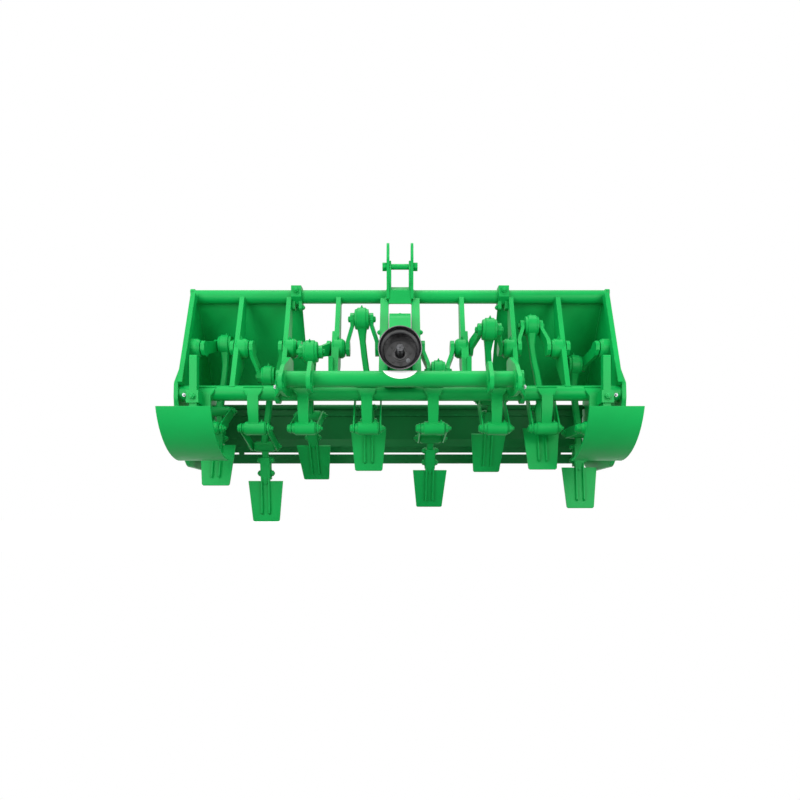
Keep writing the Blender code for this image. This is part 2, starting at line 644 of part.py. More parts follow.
def crankWeb(pin, x, side):
    # flat bar with round ends, stepping outwards from the pin to the journal
    toAxis = (Vector((crankY, crankZ)) - pin).normalized()
    across = Vector((-toAxis.y, toAxis.x))
    rows = []
    for degrees in (80, 45, 0):
        turn = math.radians(degrees)
        rows.append((-pinBossR * math.sin(turn), pinBossR * math.cos(turn), 0))
    rows.append((pinBossR * 0.9, pinBossR * 0.84, 0))
    rows.append((throwRadius - hubR * 0.9, hubR * 0.78, webStep))
    for degrees in (0, 45, 80):
        turn = math.radians(degrees)
        rows.append((throwRadius + hubR * math.sin(turn), hubR * math.cos(turn), webStep))
    sections = []
    for along, half, step in rows:
        a, b = pin + toAxis * along + across * half, pin + toAxis * along - across * half
        near, far = x + side * (webNear + step), x + side * (webFar + step)
        sections.append([(near, a.x, a.y), (far, a.x, a.y), (far, b.x, b.y), (near, b.x, b.y)])
    return loft(sections)


def crankshaft():
    solids = []
    for index, x in enumerate(throwX):
        pin = linkage(index)[0]
        for side in (-1, 1):
            solids.append(crankWeb(pin, x, side))
        solids.append(crossBar(x - webFar + overlap, x + webFar - overlap, pin.x, pin.y, crankPinR, 12))
    inside = hubFar - overlap
    ends = [fit - tubeHalf] + [x + side * inside for x in throwX for side in (-1, 1)] + [tubeHalf - fit]
    for a, b in zip(ends[::2], ends[1::2]):
        solids.append(crossBar(a, b, crankY, crankZ, journalR, 12))
    piece("crankshaft", solids, origin=(0, crankY, crankZ))


def spade(index):
    # s runs along the arm from the crank pin and t square to it, rearwards
    number = index + 1
    pin, knee, along = linkage(index)
    square = Vector((-along.y, along.x))
    x0, x1 = throwX[index], pivotX[index]

    def at(s, t, x):
        p = pin + along * s + square * t
        return (x, p.x, p.y)

    def section(s, t, x, half, deep, corner=0.35):
        cut = corner * min(half, deep)
        outline = ((-half, cut - deep), (cut - half, -deep), (half - cut, -deep), (half, cut - deep),
                   (half, deep - cut), (half - cut, deep), (cut - half, deep), (-half, deep - cut))
        return [at(s, t + dt, x + dx) for dx, dt in outline]

    def bar(s, t0, t1, x, half):
        return [at(s, t0, x - half), at(s, t0, x + half), at(s, t1, x + half), at(s, t1, x - half)]

    top = armLength + bladeTop
    face = -bladeFront
    padT = face + padDeep + 2 * fit
    # columns: share of the arm's length, t, share of the way to the pivot's x, half width, half depth
    shape = ((0.05, 0, 0, 0.0235, 0.036), (0.19, 0.003, 0.03, 0.0165, 0.020), (0.29, 0.008, 0.08, shankHalf, shankDeep),
             (0.50, 0.011, 0.35, shankHalf, shankDeep), (0.76, 0.007, 0.80, shankHalf, shankDeep),
             (0.94, 0, 1, shankHalf * 1.15, shankDeep * 1.05), (1.03, 0.002, 1, shankHalf * 1.15, shankDeep))
    shank = loft([section(share * armLength, t, x0 + way * (x1 - x0), half, deep) for share, t, way, half, deep in shape])
    lower = loft([section(armLength - 0.012, 0.002, x1, shankHalf * 1.1, shankDeep * 0.9),
                  section(top - padLong + 0.012, padT, x1, shankHalf * 1.05, padDeep * 0.9)])
    pad = loft([bar(top - padLong, padT - padDeep, padT + padDeep, x1, padHalf),
                bar(top - 0.006, padT - padDeep, padT + padDeep, x1, padHalf)])
    solids = [turned([(x0 - bigEndHalf, 0), (x0 - bigEndHalf, bigEndFace), (x0 - bigEndHalf * 0.6, bigEndR),
                      (x0 + bigEndHalf * 0.6, bigEndR), (x0 + bigEndHalf, bigEndFace), (x0 + bigEndHalf, 0)], pin.x, pin.y),
              shank, lower, pad]
    knuckleHalf = rockerInner - knuckleGap
    solids.append(turned([(x1 - knuckleHalf, 0), (x1 - knuckleHalf, knuckleR * 0.8), (x1 - knuckleHalf * 0.8, knuckleR),
                          (x1 + knuckleHalf * 0.8, knuckleR), (x1 + knuckleHalf, knuckleR * 0.8), (x1 + knuckleHalf, 0)],
                         knee.x, knee.y, 12))
    for up in (padLong - 0.012, 0.033):
        solids.append(cylinder(at(top - up, padT, x1 - clampBoltHalf), at(top - up, padT, x1 + clampBoltHalf), clampBoltR, 6))
    cut = bore(x0 - 2 * bigEndHalf, x0 + 2 * bigEndHalf, pin.x, pin.y, crankPinR, 12)
    piece("spade_arm_%d" % number, solids, [cut], origin=(x0, pin.x, pin.y))

    def leafRow(share, half, front, back):
        s, t = top + share * bladeLong, face - share * bladeLean
        return bar(s, t + front, t + back, x1, half)

    cornerHalf = bladeTipWide / 2 + 0.03 * (bladeTopWide - bladeTipWide) / 2
    leaf = loft([leafRow(0, bladeTopWide / 2, -bladeThick, 0), leafRow(0.97, cornerHalf, -bladeThick, 0),
                 leafRow(1, bladeTipWide / 2 - 0.005, -bladeThick * 0.6, -bladeThick * 0.2)])
    tang = loft([bar(top - tangLong, face - tangThick, face, x1, tangWide / 2),
                 leafRow(0.10, tangWide / 2, -tangThick - fit, -2 * fit)])
    solids = [leaf, tang]
    for side in (-1, 1):
        x = x1 + side * ribApart / 2
        rows = []
        for share, high in ((-0.10, tangThick + ribHigh / 2), (0.02, bladeThick + ribHigh), (ribShare - 0.07, bladeThick + ribHigh),
                            (ribShare, bladeThick / 2)):
            s, t = top + share * bladeLong, face - max(share, 0) * bladeLean
            rows.append([at(s, t - high, x - ribWide / 2), at(s, t - high, x + ribWide / 2),
                         at(s, t - 0.002, x + ribWide / 2 + 0.002), at(s, t - 0.002, x - ribWide / 2 - 0.002)])
        solids.append(loft(rows))
    piece("blade_%d" % number, solids, origin=(x0, pin.x, pin.y))

    # the rocker: two link plates on the bolt through the pivot barrel
    pivot = Vector((pivotY, pivotZ))
    slope = math.atan2(knee.y - pivot.y, knee.x - pivot.x)
    outline = []
    for centre, start in ((pivot, slope + math.pi / 2), (knee, slope - math.pi / 2)):
        for k in range(6):
            turn = start + math.pi * k / 5
            outline.append(centre + rockerR * Vector((math.cos(turn), math.sin(turn))))
    inside = rockerOuter - overlap
    solids = [crossBar(x1 - inside, x1 + inside, pivotY, pivotZ, pivotBoltR, 10)]
    for side in (-1, 1):
        solids.append(plate(outline, *sorted((x1 + side * rockerInner, x1 + side * rockerOuter))))
        for centre in (pivot, knee):
            solids.append(crossBar(x1 + side * inside, x1 + side * (rockerOuter + headHigh), centre.x, centre.y, headR, 6))
    piece("rocker_%d" % number, solids, origin=(x1, pivotY, pivotZ))


topTube()
lowerTube()
frontTube()
for side, label in ((-1, "left"), (1, "right")):
    hitchPlate(label, side)
    hitchTie(label, side)
    tubeClamp(label, side)
    centrePlate(label, side)
    sideWall(label, side)
    cheekPlate(label, side)
    hood(label, side)
    skid(label, side)
topLink()
gearbox()
ptoGuard()
ptoShaft()
for number, (side, x, shift) in enumerate(bearings, 1):
    bearingPlate(number, side, x, shift)
rearGate()
crankshaft()
for index in range(len(spades)):
    spade(index)
bpy.context.scene.collection.children.unlink(workshop)
bpy.data.collections.remove(workshop)
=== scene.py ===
import json
import math

import bmesh
import bpy
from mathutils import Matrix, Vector


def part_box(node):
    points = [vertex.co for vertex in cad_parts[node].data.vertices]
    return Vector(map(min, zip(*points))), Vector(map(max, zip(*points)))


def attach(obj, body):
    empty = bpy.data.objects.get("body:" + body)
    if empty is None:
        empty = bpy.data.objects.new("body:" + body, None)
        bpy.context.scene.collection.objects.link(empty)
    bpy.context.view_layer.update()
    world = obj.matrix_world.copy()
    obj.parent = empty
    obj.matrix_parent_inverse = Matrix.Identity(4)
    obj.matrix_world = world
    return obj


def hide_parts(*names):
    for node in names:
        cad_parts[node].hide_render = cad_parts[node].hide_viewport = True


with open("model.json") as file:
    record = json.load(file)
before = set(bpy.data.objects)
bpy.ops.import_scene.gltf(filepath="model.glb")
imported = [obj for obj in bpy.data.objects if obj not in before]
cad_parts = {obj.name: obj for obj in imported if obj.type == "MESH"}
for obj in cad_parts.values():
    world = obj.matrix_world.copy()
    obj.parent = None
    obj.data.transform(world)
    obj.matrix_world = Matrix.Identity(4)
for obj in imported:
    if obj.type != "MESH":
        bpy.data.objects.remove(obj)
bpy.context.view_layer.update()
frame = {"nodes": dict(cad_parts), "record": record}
nodes = frame["nodes"]
record = frame["record"]
bodyOf = {node: body for body, names in record["behaviour"]["bodies"].items() for node in names}
slotOf = {part["node"]: part["material_slot"] for part in record["subparts"]}
jointAt = {joint["name"]: Vector(joint["pos_m"]) for joint in record["behaviour"]["joints"]
           if "pos_m" in joint}
groundZ = min(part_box(name)[0][2] for name in nodes) - 0.002  # the floor, just under the lowest spade tip
print("frame loaded:", len(nodes), "nodes")


def shade(hexColour):
    # sRGB hex to the linear colour that shaders take
    values = [int(hexColour[i:i + 2], 16) / 255 for i in (1, 3, 5)]
    return [v / 12.92 if v <= 0.04045 else ((v + 0.055) / 1.055) ** 2.4 for v in values] + [1.0]


def addNode(tree, kind, settings=(), links=()):
    # settings are sockets or properties by name, links are (own socket, other node, its socket)
    node = tree.nodes.new(kind)
    for key, value in dict(settings).items():
        if isinstance(key, int) or key in node.inputs:
            node.inputs[key].default_value = value
        else:
            setattr(node, key, value)
    for socket, other, output in links:
        tree.links.new(other.outputs[output], node.inputs[socket])
    return node


def ramp(tree, source, output, stops):
    node = addNode(tree, "ShaderNodeValToRGB", {}, [("Fac", source, output)])
    for element, (at, colour) in zip(node.color_ramp.elements, stops):
        element.position = at
        element.color = shade(colour) if isinstance(colour, str) else (colour, colour, colour, 1.0)
    return node


enamelPaint = {
    "base": "#06A74E", "deep": "#039B47", "worn": "#4FC47C",
    # painted shade: a darker copy of the green for the gate and its bar, which lie in the machine's shadow
    "paintedShade": "#036E33", "paintedShadeDeep": "#02622C",
    "patchScale": 3.5,     # broad drift of the sprayed coat, about 30 cm across
    "peelScale": 420.0,    # orange peel, drawn at 2.4 mm because the real 1 mm is too fine to show
    "peelHeight": 0.0002,
    "peelStrength": 0.2,
    "dustScale": 38.0,     # specks of overspray, about 25 mm apart
    "smudgeScale": 14.0,   # duller and glossier patches, about 7 cm across
    "smudge": (-0.06, 0.08),
    "rough": 0.42, "ior": 1.48, "specular": 0.17,
    "edge": 0.0025,        # width of the thin coat along an edge
    # ramps: from the deep colour to the base one, where a face turns into an edge, how much dust shows there
    "drift": (0.35, 0.65), "edgeRamp": ((0.80, 1.0), (0.985, 0.0)), "dustRamp": ((0.48, 0.0), (0.72, 0.6)),
}


def makeEnamel(name, base, deep):
    # alkyd enamel sprayed on welded steel: saturated, soft gloss, slightly rippled, paler over edges
    material = bpy.data.materials.new(name)
    material.use_nodes = True
    tree = material.node_tree
    shader = tree.nodes["Principled BSDF"]
    shader.inputs["Metallic"].default_value = 0.0
    shader.inputs["IOR"].default_value = enamelPaint["ior"]
    shader.inputs["Specular IOR Level"].default_value = enamelPaint["specular"]
    place = addNode(tree, "ShaderNodeTexCoord")
    patch = addNode(tree, "ShaderNodeTexNoise", {"Scale": enamelPaint["patchScale"], "Detail": 4.0},
                    [("Vector", place, "Object")])
    coat = ramp(tree, patch, "Fac", zip(enamelPaint["drift"], (deep, base)))
    bevel = addNode(tree, "ShaderNodeBevel", {"Radius": enamelPaint["edge"], "samples": 4})
    flat = addNode(tree, "ShaderNodeNewGeometry")
    edge = addNode(tree, "ShaderNodeVectorMath", {"operation": "DOT_PRODUCT"},
                   [(0, bevel, "Normal"), (1, flat, "Normal")])
    edgeRamp = ramp(tree, edge, "Value", enamelPaint["edgeRamp"])
    speck = addNode(tree, "ShaderNodeTexNoise", {"Scale": enamelPaint["dustScale"], "Detail": 6.0},
                    [("Vector", place, "Object")])
    speckRamp = ramp(tree, speck, "Fac", enamelPaint["dustRamp"])
    worn = addNode(tree, "ShaderNodeMath", {"operation": "MULTIPLY"},
                   [(0, edgeRamp, "Color"), (1, speckRamp, "Color")])
    mix = addNode(tree, "ShaderNodeMix", {"data_type": "RGBA"}, [("Factor", worn, "Value")])
    tree.links.new(coat.outputs["Color"], mix.inputs[6])
    mix.inputs[7].default_value = shade(enamelPaint["worn"])
    tree.links.new(mix.outputs[2], shader.inputs["Base Color"])
    smudge = addNode(tree, "ShaderNodeTexNoise", {"Scale": enamelPaint["smudgeScale"], "Detail": 5.0},
                     [("Vector", place, "Object")])
    glossy, dull = (enamelPaint["rough"] + shift for shift in enamelPaint["smudge"])
    rough = addNode(tree, "ShaderNodeMapRange", {"To Min": glossy, "To Max": dull},
                    [("Value", smudge, "Fac")])
    tree.links.new(rough.outputs["Result"], shader.inputs["Roughness"])
    peel = addNode(tree, "ShaderNodeTexNoise", {"Scale": enamelPaint["peelScale"], "Detail": 2.0},
                   [("Vector", place, "Object")])
    bump = addNode(tree, "ShaderNodeBump",
                   {"Strength": enamelPaint["peelStrength"], "Distance": enamelPaint["peelHeight"]},
                   [("Height", peel, "Fac")])
    tree.links.new(bump.outputs["Normal"], shader.inputs["Normal"])
    return material


plainFinishes = {
    # high-density polythene, moulded: deep black, waxy gloss with fine flow marks
    "moulded_polythene": {"dark": "#121213", "light": "#222124", "metal": 0.0, "rough": 0.24, "spread": 0.06,
                          "grain": 60.0, "relief": 0.0001, "gloss": 1.0},
    # shaft end: dark grey and dull, darker than the turned steel, with a mottled grain
    "dark_dull_steel": {"dark": "#3B3B3C", "light": "#626366", "metal": 0.4, "rough": 0.48, "spread": 0.08,
                     "grain": 210.0, "relief": 0.0001},
    # turned medium-carbon steel, oiled: grey, soft streaky shine
    "turned_steel": {"dark": "#77797C", "light": "#96989B", "metal": 1.0, "rough": 0.36, "spread": 0.06,
                     "grain": 260.0, "relief": 0.0001},
    # vinyl film left blank: white, smooth, a little sheen, and a faint glow that is painted light lifting it
    # out of the guard's shadow
    "white_vinyl": {"dark": "#F0F1F0", "light": "#F8F8F7", "metal": 0.0, "rough": 0.32, "spread": 0.04,
                    "grain": 90.0, "relief": 0.00004, "glow": 0.22},
}
grainForm = {"gloss": 0.5, "stops": (0.3, 0.7), "bump": 0.3}


def makePlain(name):
    look = plainFinishes[name]
    material = bpy.data.materials.new(name)
    material.use_nodes = True
    tree = material.node_tree
    shader = tree.nodes["Principled BSDF"]
    shader.inputs["Metallic"].default_value = look["metal"]
    shader.inputs["Specular IOR Level"].default_value = look.get("gloss", grainForm["gloss"])
    # painted light: a faint glow that lifts the film out of the shade under the guard
    if "glow" in look:
        shader.inputs["Emission Color"].default_value = shade("#FFFFFF")
        shader.inputs["Emission Strength"].default_value = look["glow"]
    place = addNode(tree, "ShaderNodeTexCoord")
    grain = addNode(tree, "ShaderNodeTexNoise", {"Scale": look["grain"], "Detail": 5.0},
                    [("Vector", place, "Object")])
    tint = ramp(tree, grain, "Fac", zip(grainForm["stops"], (look["dark"], look["light"])))
    tree.links.new(tint.outputs["Color"], shader.inputs["Base Color"])
    rough = addNode(tree, "ShaderNodeMapRange", {"To Min": look["rough"] - look["spread"],
                                                 "To Max": look["rough"] + look["spread"]},
                    [("Value", grain, "Fac")])
    tree.links.new(rough.outputs["Result"], shader.inputs["Roughness"])
    bump = addNode(tree, "ShaderNodeBump", {"Strength": grainForm["bump"], "Distance": look["relief"]},
                   [("Height", grain, "Fac")])
    tree.links.new(bump.outputs["Normal"], shader.inputs["Normal"])
    return material


finishes = {"green_paint": makeEnamel("green_enamel", enamelPaint["base"], enamelPaint["deep"]),
            # a darker, duller copy of the same green: painted shade for the gate and its bar, which lie in
            # the machine's shadow
            "painted_shade_green": makeEnamel("green_enamel_painted_shade", enamelPaint["paintedShade"], enamelPaint["paintedShadeDeep"]),
            "black_plastic": makePlain("moulded_polythene"), "bare_steel": makePlain("turned_steel"),
            "dark_dull": makePlain("dark_dull_steel"), "vinyl": makePlain("white_vinyl")}
for name, node in nodes.items():
    node.data.materials.clear()
    node.data.materials.append(finishes[slotOf[name]])
print("finishes made")


def addPiece(name, source, slot, body, stands=(), finish=None, sharp=38):
    # source is a bmesh or a mesh that lies where the piece belongs
    if isinstance(source, bmesh.types.BMesh):
        mesh = bpy.data.meshes.new(name)
        source.to_mesh(mesh)
        source.free()
    else:
        mesh = source
        mesh.name = name
    mesh.materials.clear()
    mesh.materials.append(finishes[finish or slot])
    mesh.shade_smooth()
    mesh.set_sharp_from_angle(angle=math.radians(sharp))
    piece = bpy.data.objects.new(name, mesh)
    bpy.context.scene.collection.objects.link(piece)
    # normals weighted by area, so that broad faces stay flat up to their rounded edges
    level = piece.modifiers.new("flat_faces", "WEIGHTED_NORMAL")
    level.keep_sharp = True
    bpy.context.view_layer.update()
    flat = bpy.data.meshes.new_from_object(piece.evaluated_get(bpy.context.evaluated_depsgraph_get()))
    piece.modifiers.clear()
    piece.data = flat
    flat.name = name
    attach(piece, body)
    if stands:
        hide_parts(*stands)
    return piece


softEdge = {"width": 0.0012, "segments": 2, "angle": 32, "flat": 0.6,
            "doubles": 0.00002, "merge": 0.0003, "sliver": 0.00005,    # how near points are to be joined
            # the gate bar takes the darker copy of the enamel: painted shade
            "paintedShade": ("gate_bar",), "remade": ("pto_guard", "pto_shaft", "rear_gate")}


def soften(name):
    # a copy of the CAD solid, its doubles merged and its edges rounded as on ground and painted steel
    bm = bmesh.new()
    bm.from_mesh(nodes[name].data)
    bmesh.ops.remove_doubles(bm, verts=bm.verts, dist=softEdge["doubles"])
    bmesh.ops.dissolve_limit(bm, angle_limit=math.radians(softEdge["flat"]), verts=bm.verts, edges=bm.edges)
    bmesh.ops.remove_doubles(bm, verts=bm.verts, dist=softEdge["merge"])
    bmesh.ops.dissolve_degenerate(bm, edges=bm.edges, dist=softEdge["sliver"])
    mesh = bpy.data.meshes.new(name)
    bm.to_mesh(mesh)
    bm.free()
    holder = bpy.data.objects.new(name, mesh)
    bpy.context.scene.collection.objects.link(holder)
    bevel = holder.modifiers.new("soft_edge", "BEVEL")
    bevel.width = softEdge["width"]
    bevel.segments = softEdge["segments"]
    bevel.limit_method = "ANGLE"
    bevel.angle_limit = math.radians(softEdge["angle"])
    bpy.context.view_layer.update()
    soft = bpy.data.meshes.new_from_object(holder.evaluated_get(bpy.context.evaluated_depsgraph_get()))
    bpy.data.objects.remove(holder, do_unlink=True)
    # the gate bar takes the darker copy of the enamel: painted shade
    finish = "painted_shade_green" if name in softEdge["paintedShade"] else None
    return addPiece(name + "_painted", soft, slotOf[name], bodyOf[name], (name,), finish)


for name in nodes:
    if name not in softEdge["remade"]:
        soften(name)
print("edges softened")


def newTree(name, sockets):
    # a geometry node tree with named inputs; returns it with its input and output nodes
    tree = bpy.data.node_groups.new(name, "GeometryNodeTree")
    tree.interface.new_socket("Geometry", in_out="INPUT", socket_type="NodeSocketGeometry")
    for label, kind, value in sockets:
        socket = tree.interface.new_socket(label, in_out="INPUT", socket_type=kind)
        if value is not None:
            socket.default_value = value
    tree.interface.new_socket("Geometry", in_out="OUTPUT", socket_type="NodeSocketGeometry")
    return tree, addNode(tree, "NodeGroupInput"), addNode(tree, "NodeGroupOutput")


def closeTree(tree, source, output, given, result):
    # every tree ends in real geometry with its finish on it
    solid = addNode(tree, "GeometryNodeRealizeInstances", {}, [("Geometry", source, output)])
    dressed = addNode(tree, "GeometryNodeSetMaterial", {},
                      [("Geometry", solid, "Geometry"), ("Material", given, "Finish")])
    tree.links.new(dressed.outputs["Geometry"], result.inputs["Geometry"])


def grow(name, tree, base, inputs):
    # runs a tree on a mesh of points or paths and returns the plain mesh
    holder = bpy.data.objects.new(name, base)
    bpy.context.scene.collection.objects.link(holder)
    modifier = holder.modifiers.new(name, "NODES")
    modifier.node_group = tree
    for item in tree.interface.items_tree:
        if item.item_type == "SOCKET" and item.in_out == "INPUT" and item.name in inputs:
            modifier[item.identifier] = inputs[item.name]
    bpy.context.view_layer.update()
    mesh = bpy.data.meshes.new_from_object(holder.evaluated_get(bpy.context.evaluated_depsgraph_get()))
    holder.modifiers.clear()
    bpy.data.objects.remove(holder, do_unlink=True)
    return mesh


# shares of a fastener's own sizes: how deep its washer sinks, where its head's chamfer starts and ends,
# how much of its thread end is straight and how narrow its tip is
fastenerForm = {"washerSides": 20, "sunk": 0.5, "hexSides": 6, "flank": 0.78, "chamfer": 0.84,
                "endSides": 12, "straight": 0.75, "tip": 0.6}


def makeFastenerTree():
    # washer, hexagon with a chamfered top, and thread end, set on points by their aim
    floats = (("Washer Radius", 0.0155), ("Washer Thickness", 0.0025), ("Head Radius", 0.0125),
              ("Head Height", 0.0085), ("End Radius", 0.0065), ("End Length", 0.004))
    tree, given, result = newTree("fastener", [(label, "NodeSocketFloat", value) for label, value in floats]
                                  + [("Finish", "NodeSocketMaterial", None)])

    def calculate(operation, a, b):
        node = addNode(tree, "ShaderNodeMath", {"operation": operation})
        for index, value in enumerate((a, b)):
            if isinstance(value, (int, float)):
                node.inputs[index].default_value = value
            else:
                tree.links.new(value, node.inputs[index])
        return node.outputs["Value"]

    def raised(node, height):
        spot = addNode(tree, "ShaderNodeCombineXYZ")
        tree.links.new(height, spot.inputs["Z"])
        return addNode(tree, "GeometryNodeTransform", {},
                       [("Geometry", node, "Mesh"), ("Translation", spot, "Vector")])

    def cone(sides, low, high, depth, base):
        # a frustum standing on its base height
        node = addNode(tree, "GeometryNodeMeshCone", {"Vertices": sides})
        for socket, value in (("Radius Bottom", low), ("Radius Top", high), ("Depth", depth)):
            tree.links.new(value, node.inputs[socket])
        return raised(node, base)

    washerR, washerT = given.outputs["Washer Radius"], given.outputs["Washer Thickness"]
    headR, headH = given.outputs["Head Radius"], given.outputs["Head Height"]
    endR, endL = given.outputs["End Radius"], given.outputs["End Length"]
    form = fastenerForm
    flank, top = calculate("MULTIPLY", headH, form["flank"]), calculate("ADD", washerT, headH)
    straight = calculate("MULTIPLY", endL, form["straight"])
    shapes = [cone(form["washerSides"], washerR, washerR, calculate("MULTIPLY", washerT, 1 + form["sunk"]),
                   calculate("MULTIPLY", washerT, -form["sunk"])),
              cone(form["hexSides"], headR, headR, flank, washerT),
              cone(form["hexSides"], headR, calculate("MULTIPLY", headR, form["chamfer"]),
                   calculate("MULTIPLY", headH, 1 - form["flank"]), calculate("ADD", washerT, flank)),
              cone(form["endSides"], endR, endR, straight, top),
              cone(form["endSides"], endR, calculate("MULTIPLY", endR, form["tip"]),
                   calculate("MULTIPLY", endL, 1 - form["straight"]), calculate("ADD", top, straight))]
    whole = addNode(tree, "GeometryNodeJoinGeometry", {},
                    [("Geometry", shape, "Geometry") for shape in shapes])
    aim = addNode(tree, "GeometryNodeInputNamedAttribute", {"data_type": "FLOAT_VECTOR", "Name": "aim"})
    turn = addNode(tree, "FunctionNodeAlignRotationToVector", {"axis": "Z"}, [("Vector", aim, "Attribute")])
    size = addNode(tree, "GeometryNodeInputNamedAttribute", {"data_type": "FLOAT", "Name": "size"})
    copies = addNode(tree, "GeometryNodeInstanceOnPoints", {},
                     [("Points", given, "Geometry"), ("Instance", whole, "Geometry"),
                      ("Rotation", turn, "Rotation"), ("Scale", size, "Attribute")])
    closeTree(tree, copies, "Instances", given, result)
    return tree


def makeBeadTree():
    # a weld bead along each path, with the ripples that the electrode leaves
    floats = (("Bead Radius", 0.0034), ("Ripple Pitch", 0.0062), ("Ripple Depth", 0.16), ("Step", 0.0021))
    tree, given, result = newTree("weld_bead", [(label, "NodeSocketFloat", value) for label, value in floats]
                                  + [("Finish", "NodeSocketMaterial", None)])
    path = addNode(tree, "GeometryNodeMeshToCurve", {}, [("Mesh", given, "Geometry")])
    fine = addNode(tree, "GeometryNodeResampleCurve", {"mode": "LENGTH"},
                   [("Curve", path, "Curve"), ("Length", given, "Step")])
    along = addNode(tree, "GeometryNodeSplineParameter")
    waves = addNode(tree, "ShaderNodeMath", {"operation": "DIVIDE"},
                    [(0, along, "Length"), (1, given, "Ripple Pitch")])
    phase = addNode(tree, "ShaderNodeMath", {"operation": "MULTIPLY", 1: math.tau}, [(0, waves, "Value")])
    wave = addNode(tree, "ShaderNodeMath", {"operation": "SINE"}, [(0, phase, "Value")])
    swell = addNode(tree, "ShaderNodeMath", {"operation": "MULTIPLY"},
                    [(0, wave, "Value"), (1, given, "Ripple Depth")])
    width = addNode(tree, "ShaderNodeMath", {"operation": "ADD", 1: 1.0}, [(0, swell, "Value")])
    radius = addNode(tree, "GeometryNodeSetCurveRadius", {},
                     [("Curve", fine, "Curve"), ("Radius", width, "Value")])
    ring = addNode(tree, "GeometryNodeCurvePrimitiveCircle", {"Resolution": 8},
                   [("Radius", given, "Bead Radius")])
    bead = addNode(tree, "GeometryNodeCurveToMesh", {"Fill Caps": True},
                   [("Curve", radius, "Curve"), ("Profile Curve", ring, "Curve")])
    if "Scale" in bead.inputs:
        tree.links.new(width.outputs["Value"], bead.inputs["Scale"])
        tree.links.new(fine.outputs["Curve"], bead.inputs["Curve"])
    closeTree(tree, bead, "Mesh", given, result)
    return tree


# columns: washer radius and thickness, head radius and height, thread end radius and length, slot
fastenerKinds = {
    "pin_nut": (0.0195, 0.0024, 0.0100, 0.0080, 0.0075, 0.0085, "green_paint"),
    "hex_bolt": (0.0155, 0.0025, 0.0125, 0.0085, 0.0065, 0.0040, "green_paint"),
    "web_bolt": (0.0160, 0.0016, 0.0128, 0.0080, 0.0056, 0.0012, "green_paint"),
    "grease_nipple": (0.0070, 0.0030, 0.0046, 0.0040, 0.0027, 0.0050, "green_paint"),
    "cheek_bolt": (0.0190, 0.0022, 0.0100, 0.0050, 0.0060, 0.0016, "green_paint"),
    "bright_end": (0.0090, 0.0016, 0.0060, 0.0040, 0.0045, 0.0050, "bare_steel"),
    "guard_bolt": (0.0082, 0.0014, 0.0064, 0.0046, 0.0030, 0.0008, "black_plastic"),
}
fastenerInputs = ("Washer Radius", "Washer Thickness", "Head Radius", "Head Height", "End Radius",
                  "End Length")
fastenersAt = {}  # (body, kind) to rows of place, aim and scale
beadsAt = {}      # body to lists of points


def addFastener(body, kind, point, aim, size=1.0):
    fastenersAt.setdefault((body, kind), []).append((Vector(point), Vector(aim), size))


def addBead(body, points):
    beadsAt.setdefault(body, []).append([Vector(p) for p in points])


tubes = {  # y, z and radius
    "low": (0.190, 0.003, 0.0315), "top": (0.360, 0.465, 0.0285), "front": (0.060, 0.031, 0.0315),
}
beadSteps = {"least": 3, "degrees": 8}


def beadRound(x, tube, start, end):
    # a bead round a tube at x; degrees run from the rear over the top
    y, z, radius = tubes[tube]
    count = max(beadSteps["least"], int(abs(end - start) / beadSteps["degrees"]))
    turns = [math.radians(start + (end - start) * k / count) for k in range(count + 1)]
    addBead("frame", [(x, y + radius * math.cos(t), z + radius * math.sin(t)) for t in turns])


def prism(outline, ends, edge=0.0):
    # a plate between two x values from its outline of (y, z), with its edges rounded
    bm = bmesh.new()
    rows = [[bm.verts.new((x, y, z)) for y, z in outline] for x in ends]
    for i in range(len(outline)):
        j = (i + 1) % len(outline)
        bm.faces.new((rows[0][i], rows[0][j], rows[1][j], rows[1][i]))
    for row in rows:
        bm.faces.new(row)
    bmesh.ops.recalc_face_normals(bm, faces=bm.faces)
    if edge:
        bmesh.ops.bevel(bm, geom=list(bm.edges), offset=edge, segments=2, affect="EDGES")
    return bm


def turnedShape(bm, profile, centre, axis, steps=24):
    # a closed profile of (along, radius) swept round an axis; a radius of 0 is a pole
    axis = Vector(axis)
    side = axis.orthogonal().normalized()
    up = axis.cross(side)
    rings = []
    for along, radius in profile:
        middle = Vector(centre) + axis * along
        turns = [math.tau * k / steps for k in range(steps)] if radius > 0 else [0.0]
        rings.append([bm.verts.new(middle + (side * math.cos(t) + up * math.sin(t)) * radius) for t in turns])
    faces = []
    for a, b in zip(rings, rings[1:] + rings[:1]):
        if len(a) == len(b) == 1:
            continue
        for k in range(steps):
            j = (k + 1) % steps
            corners = (a[k % len(a)], a[j % len(a)], b[j % len(b)], b[k % len(b)])
            faces.append(bm.faces.new(list(dict.fromkeys(corners))))
    bmesh.ops.recalc_face_normals(bm, faces=faces)


linkage = {
    "arm": 0.3015, "rocker": 0.1935, "barrelR": 0.0275, "rockerFace": 0.058, "webFace": 0.048,
    "bigEndR": 0.045, "kneeNut": 0.92,
    "sealFace": 0.028, "bigEndSteps": 40, "bushSteps": 32, "sealSharp": 24,
    # bolts of the blade's clamp and tang: along the arm, to its side and square to it
    "clampAt": (0.3635, 0.4215), "padHalf": 0.0235, "padSquare": 0.0052,
    "tangAt": 0.462, "tangSquare": -0.0149, "tangBolt": 0.62,
    "nippleSunk": 0.0010, "bigEndNipple": 1.05,
    "barrelNipple": (0.033, 0.0258), "nippleLean": (0, -0.55, 0.835),
    # beads: the flat bar on its barrel, and its flared top on the tube, from the tube's middle
    "barTurn": 138, "barBead": (-0.0195, -0.007, 0.007, 0.0195),
    "flareBead": (-0.041, -0.014, 0.014, 0.041), "flareAt": (-0.0262, 0.0205),
    "cheekBead": ((0.037, 0.003), (0.0235, -0.016)), "cheekY": -0.0375,
    "barX": 0.0225, "barArc": (196, 236),
}


